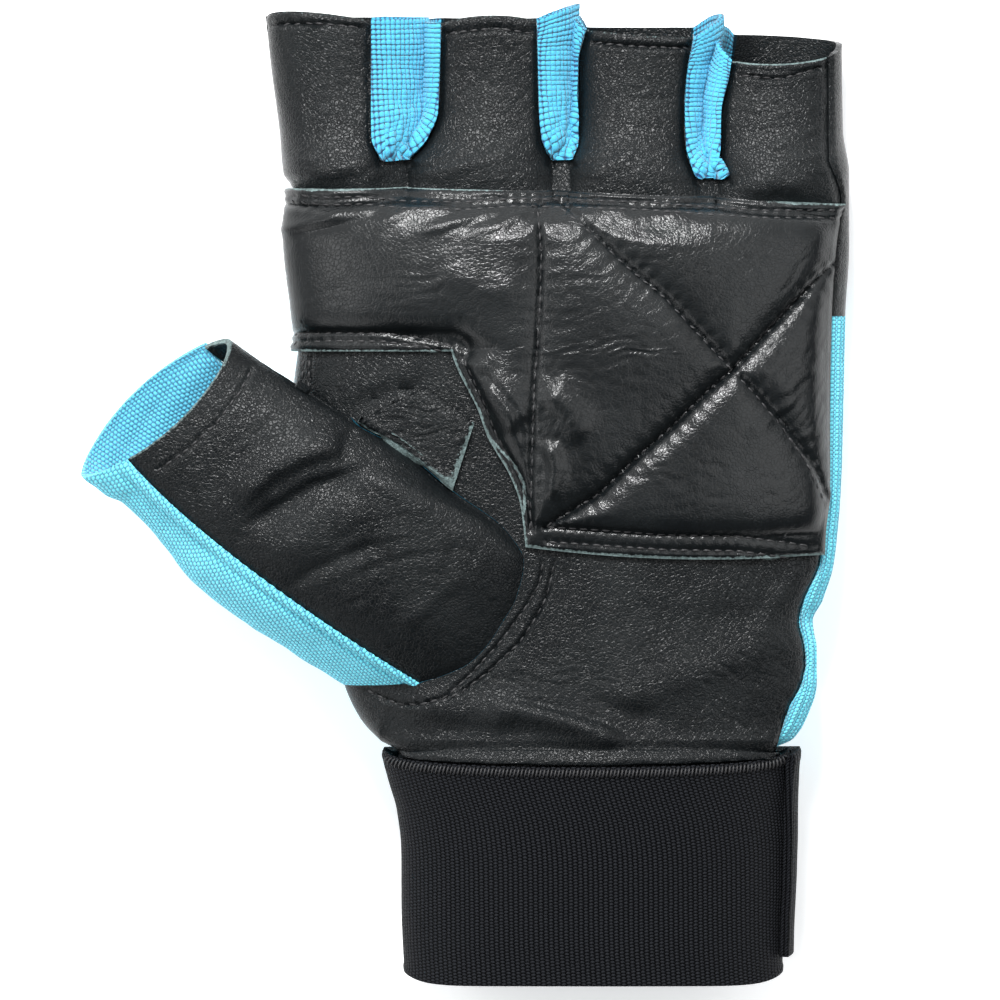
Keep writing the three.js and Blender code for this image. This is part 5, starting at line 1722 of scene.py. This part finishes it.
    def cloth(self) -> Cloth:
        """Builds the pad's outer face."""
        form = self.panels.form
        count, rows = self.left + self.right, self.low + self.high
        i = steps([9] * count, (self.left,))
        j = steps([8] * rows, (0, self.low, rows))
        jj, ii = np.meshgrid(j, i, indexing="ij")
        y = self.level(jj, ii) * form.hand_length
        x = self.across(ii, y)
        base = np.stack([x, y, form.height(x, y, Side.PALM)], axis=-1)
        middle_j, middle_i = np.meshgrid((j[1:] + j[:-1]) / 2, (i[1:] + i[:-1]) / 2, indexing="ij")
        keep = (middle_j >= self.low) | (middle_i >= self.left)
        normals = grid_normals(base)
        cloth = Cloth("palm_pad_quilt", base, keep, 1, lengths(base))
        borders = {name: line_distance(x, y, line)[0] for name, line in self.edges().items()}
        sides = np.minimum(ii, count - ii) * 3.4
        edge = np.minimum.reduce([*borders.values(), sides])
        height = self.gap + self.edge + self.rise * self.puff(x, y, borders, sides)
        height = height - (self.gap - self.seat) * peak(edge, 2.2)
        for q in self.quilt:
            away, run, way = line_distance(x, y, q)
            pucker = np.sin(2 * math.pi * run / 3.1 + 3
                * noise(run / 7, way * 3.0, 5)) * np.exp(-away / 2.0)
            height = height + self.pucker * pucker * smooth(away)
        height = height + seam_relief(x, y, self.quilt, self.quilt_pull, 2.15, 0.5)
        height = height + seam_relief(x, y, self.edge_rows(), self.edge_pull, 2.2, 0.5)
        height = height + leather_relief(x, y, 21, 0.5) * smooth(edge / 2)
        for item in (*self.folds, *self.crumples):
            height = height + item.lift(x, y) * smooth((edge - 0.5) / 2.5)
        curl = noise(x / 5.5, y / 5.5, 27) * self.curl * peak(edge, 1.6) * smooth(sides / 3)
        height = height + np.maximum(curl, -0.1) - self.edge_round * peak(edge, 0.5)
        cloth.points = base + normals * (height + self.spare * (1 - normals[..., 2]))[..., None]
        cloth.raw = self.raw_mask(x, y, borders)
        return cloth


@dataclass
class CrotchPatch:
    """The raw-edged flap over the crotch of the thumb."""

    panels: HandPanels
    gap: float = 0.3
    wall: float = 1.1
    easing: int = 24
    corners: Line = (
        (-41.4, 65.6), (-22.4, 51.8), (-18.1, 65.27), (-27.83, 72.32),
    )

    def ground(self, x: Grid, y: Grid, under: list[Piece]) -> Grid:
        """Returns the height of what lies under the flap.

        Args:
            x: positions across in mm.
            y: positions along in mm.
            under: the finished pieces below it.

        Returns:
            The heights in mm, eased so that the flap drapes.
        """
        ground = Ground(under)
        height = self.panels.form.height(x, y, Side.PALM)
        for k in np.ndindex(x.shape):
            hits = ground.under(x[k], y[k])
            height[k] = max([height[k]] + [hit[0].z / MM - ORIGIN[2] for hit in hits])
        for _ in range(self.easing):
            wide = np.pad(height, 1, mode="edge")
            mean = (wide[:-2, 1:-1] + wide[2:, 1:-1] + wide[1:-1, :-2] + wide[1:-1, 2:]) / 4
            height = np.maximum(height, mean)
        return height

    def cloth(self, under: list[Piece]) -> Cloth:
        """Builds the flap's outer face, with one thick raw edge and one thin one."""
        web, seam, palm, fold = (np.array(p) for p in self.corners)
        t = steps([9] * 5, (0, 5)) / 5
        v, u = np.meshgrid(t, t, indexing="ij")
        u3, v3 = u[..., None], v[..., None]
        flat = mix(mix(web, seam, u3), mix(fold, palm, u3), v3)
        x, y = flat[..., 0], flat[..., 1]
        base = np.stack([x, y, self.ground(x, y, under)], axis=-1)
        cloth = Cloth("crotch_patch_flap", base, None, 1)
        lower, right = v * 13.0, (1 - u) * 13.0
        near = np.minimum(lower, right)
        height = self.gap + self.wall + Crumple((-30, 64), (14, 10), 14, 1.2, 0.22, 91).lift(x, y)
        height = height + 0.25 * peak(lower - 1.6, 1.0) - 0.5 * peak(near, 0.5)
        height = height - 0.5 * smooth((v - 0.8) / 0.2)
        cloth.lift(height)
        wide = 0.3 + 1.25 * u
        ragged = 0.35 * noise(x / 0.9, y / 0.9, 92)
        cloth.raw = np.maximum(np.clip(1.5 - (lower + ragged) / wide, 0, 1),
            np.clip(1.3 - (right + ragged) / 0.8, 0, 1))
        return cloth


@dataclass
class WristBand:
    """The woven elastic ring, its second layer and the fastening patch."""

    form: HandForm
    height: float = 46.6
    top: float = 0.6
    dip: float = 3.9
    strap_height: float = 42.6
    wall: float = 1.9
    gap: float = 0.3
    room: float = 2.2
    strap_start: float = 14.0
    strap_end: float = -118.0
    tab_end: float = -142.0
    table: Table = field(default_factory=lambda: Table("left right side rise", (
        (0.0, -0.292, 0.396, 0.611, 0.528), (0.2, -0.2964, 0.399, 0.611, 0.532),
        (0.55, -0.2982, 0.4036, 0.611, 0.536), (0.72, -0.3055, 0.4045, 0.611, 0.539),
        (0.88, -0.324, 0.406, 0.611, 0.543), (0.96, -0.3315, 0.4075, 0.611, 0.55),
        (1.0, -0.329, 0.4045, 0.611, 0.54),
    )))

    @staticmethod
    def front_edge(x: Grid) -> Grid:
        """Returns the level of the ring's upper edge on the palm side at a position across."""
        c = np.clip(np.abs(x - 4.15) / 40.3, 0, 1) ** 1.125
        return WristBand.top - WristBand.dip * np.sqrt(1 - c * c) ** 0.7

    def points(self, angle: Grid, share: Grid) -> Grid:
        """Returns the points of the ring's outer face by angle and by share of its height."""
        c, s = np.cos(np.radians(angle)), np.sin(np.radians(angle))
        left, right, side, rise = (self.table.read(share, k) for k in ("left", "right", "side",
            "rise"))
        width, depth = self.form.palm_width, self.form.hand_depth
        power = 2 / 2.25
        front = np.maximum(0, s)
        top = self.top - self.dip * front**0.7
        foot = top - self.height + 2.9 * front + 2.2 * np.abs(c) ** 10
        x = (left
            + right) / 2 * width + (right - left) / 2 * width * np.sign(c) * np.abs(c) ** power
        z = side * depth + rise * depth * np.sign(s) * np.abs(s) ** power
        return np.stack([x, mix(foot, top, share), np.maximum(self.room, z)], axis=-1)

    def sleeve(self, name: str, first: float, last: float, low: float, lift: float,
            columns: int) -> Cloth:
        """Builds a stretch of the elastic.

        Args:
            name: the piece's name.
            first: the angle where it begins, in degrees.
            last: the angle where it ends.
            low: the share of the height where its lower edge is.
            lift: how far it stands off the ring, in mm.
            columns: cells round.

        Returns:
            The grid of its outer face.
        """
        angle = np.linspace(first, last, columns + 1)
        share = np.linspace(low, 1.0 if low == 0 else 0.99, 61)
        ss, aa = np.meshgrid(share, angle, indexing="ij")
        points = self.points(aa, ss)
        turn = 1 if last < first else -1
        cloth = Cloth(name, points, None, turn)
        cloth.uv = lengths(points)
        x = points[..., 0]
        waves = 0.25 * noise(x / 16, ss * 2.2, 95) + 0.05 * noise(x / 3, ss * 9, 96)
        bead = 0.35 * peak(ss - 0.975, 0.02) + 0.25 * peak(ss - 0.01, 0.015)
        normals = grid_normals(points, turn)
        cloth.points = points + normals * (lift + waves + bead)[..., None]
        return cloth


# -------- sewing


@dataclass
class Sewing:
    """Rows of thread stitches laid on finished pieces."""

    pitch: float = 2.2
    length: float = 1.55
    width: float = 0.46
    depth: float = 0.3
    steepest: float = 0.15

    def model(self, name: str) -> Piece:
        """Models one stitch: a low bead of thread with tapered ends."""
        deselect()
        bpy.ops.mesh.primitive_cylinder_add(vertices=6, radius=0.5, depth=1.0,
            end_fill_type="TRIFAN")
        obj = bpy.context.object
        obj.name = name
        bpy.ops.object.mode_set(mode="EDIT")
        bpy.ops.mesh.select_all(action="SELECT")
        bpy.ops.transform.rotate(value=math.pi / 2, orient_axis="Y", center_override=(0, 0, 0))
        bpy.ops.mesh.bisect(plane_co=(0.22, 0, 0), plane_no=(1, 0, 0))
        bpy.ops.mesh.select_all(action="SELECT")
        bpy.ops.mesh.bisect(plane_co=(-0.22, 0, 0), plane_no=(1, 0, 0))
        bpy.ops.object.mode_set(mode="OBJECT")
        for v in obj.data.vertices:
            end = abs(v.co.x) > 0.4
            v.co.y *= 0.35 if end else 1.0
            v.co.z = v.co.z * (0.35 if end else 1.0) - (0.45 if end else 0.0)
        return obj

    def row(self, name: str, lines: Sequence[Line], onto: list[Piece],
            pitch: float | None = None, sink: float = 0.05, slant: float = 0.0) -> Piece:
        """Lays stitches along lines drawn from above.

        Args:
            name: the piece's name.
            lines: the lines' points in mm.
            onto: the pieces that the thread lies on.
            pitch: the step from one stitch to the next in mm.
            sink: how deep the thread is pulled in, in mm.
            slant: how far each stitch turns from its line, in degrees.

        Returns:
            One object with all the stitches.
        """
        step = pitch or self.pitch
        ground = Ground(onto)
        one = self.model(name)
        shape = np.array([v.co[:] for v in one.data.vertices])
        faces = [tuple(p.vertices) for p in one.data.polygons]
        points, polygons = [], []
        for line in lines:
            p = np.array(line, float)
            run = np.concatenate([[0], np.cumsum(np.linalg.norm(np.diff(p, axis=0), axis=1))])
            at = np.arange(step / 2, run[-1], step)
            xs, ys = np.interp(at, run, p[:, 0]), np.interp(at, run, p[:, 1])
            ahead = np.interp(at + 0.1, run, p[:, 0]) - np.interp(at - 0.1, run, p[:, 0])
            up = np.interp(at + 0.1, run, p[:, 1]) - np.interp(at - 0.1, run, p[:, 1])
            for x, y, dx, dy in zip(xs, ys, ahead, up):
                hits = [hit for hit in ground.under(x, y) if hit[1].z > self.steepest]
                if not hits:
                    continue
                place, normal, _, _ = max(hits, key=lambda h: h[0].z)
                way = Vector((dx, dy, 0))
                way = (way - normal * way.dot(normal)).normalized()
                across = normal.cross(way)
                if slant:
                    c, s = math.cos(math.radians(slant)), math.sin(math.radians(slant))
                    way, across = way * c + across * s, across * c - way * s
                frame = np.array([way * self.length, across * self.width, normal * self.depth]) * MM
                centre = np.array(place) + np.array(normal) * (self.depth * 0.25 - sink) * MM
                base = len(points) * len(shape)
                points.append(shape @ frame + centre)
                polygons += [tuple(k + base for k in f) for f in faces]
        mesh = bpy.data.meshes.new(name)
        mesh.from_pydata(np.concatenate(points).tolist(), [], polygons)
        one.data = mesh
        mesh.name = name
        deselect()
        one.select_set(True)
        bpy.context.view_layer.objects.active = one
        bpy.ops.object.shade_smooth_by_angle(angle=math.radians(60))
        return one


# -------- the studio


@dataclass
class Studio:
    """The floor, the lights and the camera."""

    view: tuple[float, float] = (6.5354, -0.3429)
    frame: float = 200.0
    plane: float = 20.0
    distance: float = 4000.0
    lights: tuple[tuple[str, tuple[float, float, float], float, float], ...] = (
        ("top_key", (-70, 570, 650), 200, 9.5),
        ("left_key", (-560, 160, 640), 300, 1.1),
        ("right_soft", (540, 60, 720), 600, 2.2),
        ("low_soft", (-520, -440, 460), 500, 1.6),
    )

    def build(self) -> None:
        """Adds the camera, the floor, the lights and the sky."""
        target = Vector((self.view[0] * MM, self.view[1] * MM, self.plane * MM))
        data = bpy.data.cameras.new("camera")
        data.sensor_width = data.sensor_height = 36.0
        data.lens = 36.0 * self.distance / self.frame
        data.clip_end = 10.0
        camera = bpy.data.objects.new("camera", data)
        camera.location = target + Vector((0, 0, self.distance * MM))
        bpy.context.scene.collection.objects.link(camera)
        bpy.context.scene.camera = camera
        self.floor()
        for name, place, size, power in self.lights:
            lamp = bpy.data.lights.new(name, "AREA")
            lamp.shape, lamp.size, lamp.energy = "SQUARE", size * MM, power
            obj = bpy.data.objects.new(name, lamp)
            obj.location = Vector(place) * MM
            obj.rotation_euler = (target - obj.location).to_track_quat("-Z", "Y").to_euler()
            bpy.context.scene.collection.objects.link(obj)
        world = bpy.data.worlds.new("soft_sky")
        world.use_nodes = True
        n = Nodes(world.node_tree)
        way = n.add("SeparateXYZ", {0: n.add("TexCoord").outputs["Generated"]})
        lean = n.sum(n.mul(way.outputs[1], 0.9), n.mul(way.outputs[0], -0.3))
        sky = n.ramp(lean, -0.35, 0.85, 0.1, 1.7)
        n.link(sky, world.node_tree.nodes["Background"].inputs[0])
        bpy.context.scene.world = world
        bpy.context.scene.view_settings.view_transform = "Standard"

    @staticmethod
    def floor() -> None:
        """Adds the pale floor."""
        deselect()
        bpy.ops.mesh.primitive_plane_add(size=4.0, location=(0, 0, -0.0004))
        obj = bpy.context.object
        obj.name = "floor"
        bpy.ops.object.transform_apply(location=True, rotation=True, scale=True)
        mat = bpy.data.materials.new("floor_paper")
        mat.use_nodes = True
        shader = mat.node_tree.nodes["Principled BSDF"]
        n = Nodes(mat.node_tree)
        place = n.add("TexCoord").outputs["Object"]
        grain = n.noise(place, 300.0, 3.0)
        n.link(n.blend(grain.outputs["Fac"], (0.9, 0.9, 0.9, 1), (0.93, 0.93, 0.93, 1)),
            shader.inputs["Base Color"])
        shader.inputs["Roughness"].default_value = 0.9
        shader.inputs["Emission Color"].default_value = (0.95, 0.98, 1.0, 1)
        shader.inputs["Emission Strength"].default_value = 0.45
        obj.data.materials.append(mat)


# -------- putting it together


@dataclass(frozen=True)
class Cut:
    """What a panel is cut from, in mm and mm2, how it is held and what it lies on."""

    width: float
    length: float
    area: float
    held: str = "stretched"
    rests: tuple[str, ...] = ()


@dataclass
class Glove:
    wardrobe: Wardrobe
    form: HandForm = field(default_factory=HandForm)
    pad_wall: float = 1.15
    gusset_tips: tuple[tuple[str, float], ...] = (("one", 0.0), ("two", 3.0), ("three", 3.4))

    def finish(self, obj: Piece, material: Material, slot: str, *nodes: str) -> Piece:
        """Gives a piece its material and its place in the record, and reports it.

        Args:
            obj: the piece.
            material: its material.
            slot: the record's material slot; not used.
            nodes: the CAD nodes that it stands for.

        Returns:
            The same object.
        """
        obj.data.materials.clear()
        obj.data.materials.append(material)
        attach(obj, "root")
        if nodes:
            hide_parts(*nodes)
        LOG.info("%s: %d faces, %.1f cm2", obj.name, len(obj.data.polygons), area_of(obj) * 1e4)
        return obj

    def panel(self, shape: Cloth | Piece, wall: float, material: Material, slot: str,
            node: str) -> Piece:
        """Gives a cut panel its wall and dresses it.

        Args:
            shape: the panel's outer face.
            wall: its wall in mm.
            material: its material.
            slot: the record's material slot.
            node: the CAD node that it stands for.

        Returns:
            The finished piece.
        """
        face = shape.mesh() if isinstance(shape, Cloth) else shape
        obj = self.finish(thicken(face, wall), material, slot, node)
        return obj

    def build(self) -> None:
        """Builds every piece in the order in which the glove is sewn."""
        w = self.wardrobe
        panels = HandPanels(self.form)
        hide_wall, knit_wall = panels.leather, panels.fabric
        palm = self.panel(panels.palm_leather(), hide_wall, w.hide, "black_leather", "palm_leather")
        self.panel(panels.back_leather(), hide_wall, w.hide, "black_leather", "back_leather")
        self.panel(panels.back_fabric(), knit_wall, w.fine_knit, "blue_fabric", "back_fabric")
        self.panel(panels.side_strip(), hide_wall, w.hide, "black_leather", "side_strip")
        for slot, (word, tip) in enumerate(self.gusset_tips):
            node = "fourchette_" + word
            self.panel(Gusset(panels, slot, node + "_knit", tip).cloth(), knit_wall, w.knit,
                "blue_fabric", node)
        hide, knit = ThumbStall(panels).cloths()
        thumb = self.panel(hide, hide_wall, w.hide, "black_leather", "thumb_leather")
        self.panel(knit, knit_wall, w.fine_knit, "blue_fabric", "thumb_fabric")
        pad_form = PalmPad(panels)
        pad = self.finish(thicken(pad_form.cloth().mesh(), self.pad_wall), w.pad_hide,
            "black_leather", "palm_pad")
        flap = CrotchPatch(panels)
        self.panel(flap.cloth([palm, thumb]), flap.wall, w.hide, "black_leather", "crotch_patch")
        self.build_band()
        self.sew(palm, pad, thumb, pad_form)

    def build_band(self) -> None:
        """Builds the wrist's elastic."""
        w, band = self.wardrobe, WristBand(self.form)
        ring = join([band.sleeve("wrist_band_elastic", 360, 0, 0.0, 0.0, 240).mesh()])
        obj = self.panel(ring, band.wall, w.elastic, "black_elastic", "wrist_band")
        edge = band.points(np.linspace(172, 8, 80), np.full(80, 0.972))
        whip = Sewing(length=1.9, width=0.42, depth=0.5)
        row = whip.row("band_whip_stitches", [list(zip(edge[:, 0], edge[:, 1]))], [obj], 0.74,
            0.02, 78.0)
        self.finish(row, w.black_thread, "black_elastic")
        low = (band.height - band.strap_height) / band.height
        lift = band.gap + band.wall
        strap = band.sleeve("wrist_strap_elastic", band.strap_start, band.strap_end, low, lift, 110)
        self.panel(strap, band.wall, w.elastic, "black_elastic", "wrist_strap")
        tab = band.sleeve("strap_tab_elastic", band.strap_end - 0.6, band.tab_end, low, lift, 24)
        self.panel(tab, band.wall, w.elastic, "black_elastic", "strap_tab")

    def sew(self, palm: Piece, pad: Piece, thumb: Piece, pad_form: PalmPad) -> None:
        """Sews the rows of stitches that show.

        Args:
            palm: the palm's leather.
            pad: the pad.
            thumb: the thumb's leather.
            pad_form: the pad's own lines.
        """
        sewing = Sewing()
        rows = {
            "pad_edge_stitches": (pad_form.edge_rows(), pad, 2.2),
            "quilt_stitches": (pad_form.quilt, pad, 2.15),
            "thenar_stitches": ((*THENAR_ROWS, *SIDE_ROWS), palm, 2.2),
            "finger_hem_stitches": (HEM_ROWS, palm, 2.2),
            "thumb_hem_stitches": ((ThumbStall.hem_row,), thumb, 2.2),
        }
        for name, (lines, onto, pitch) in rows.items():
            self.finish(sewing.row(name, lines, [onto], pitch), self.wardrobe.black_thread,
                "black_leather")


def main() -> None:
    """Loads the frame, then builds the studio and the glove."""
    logging.basicConfig(level=logging.INFO, format="%(name)s: %(message)s")
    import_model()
    Studio().build()
    Glove(Wardrobe()).build()


if __name__ == "__main__":
    main()
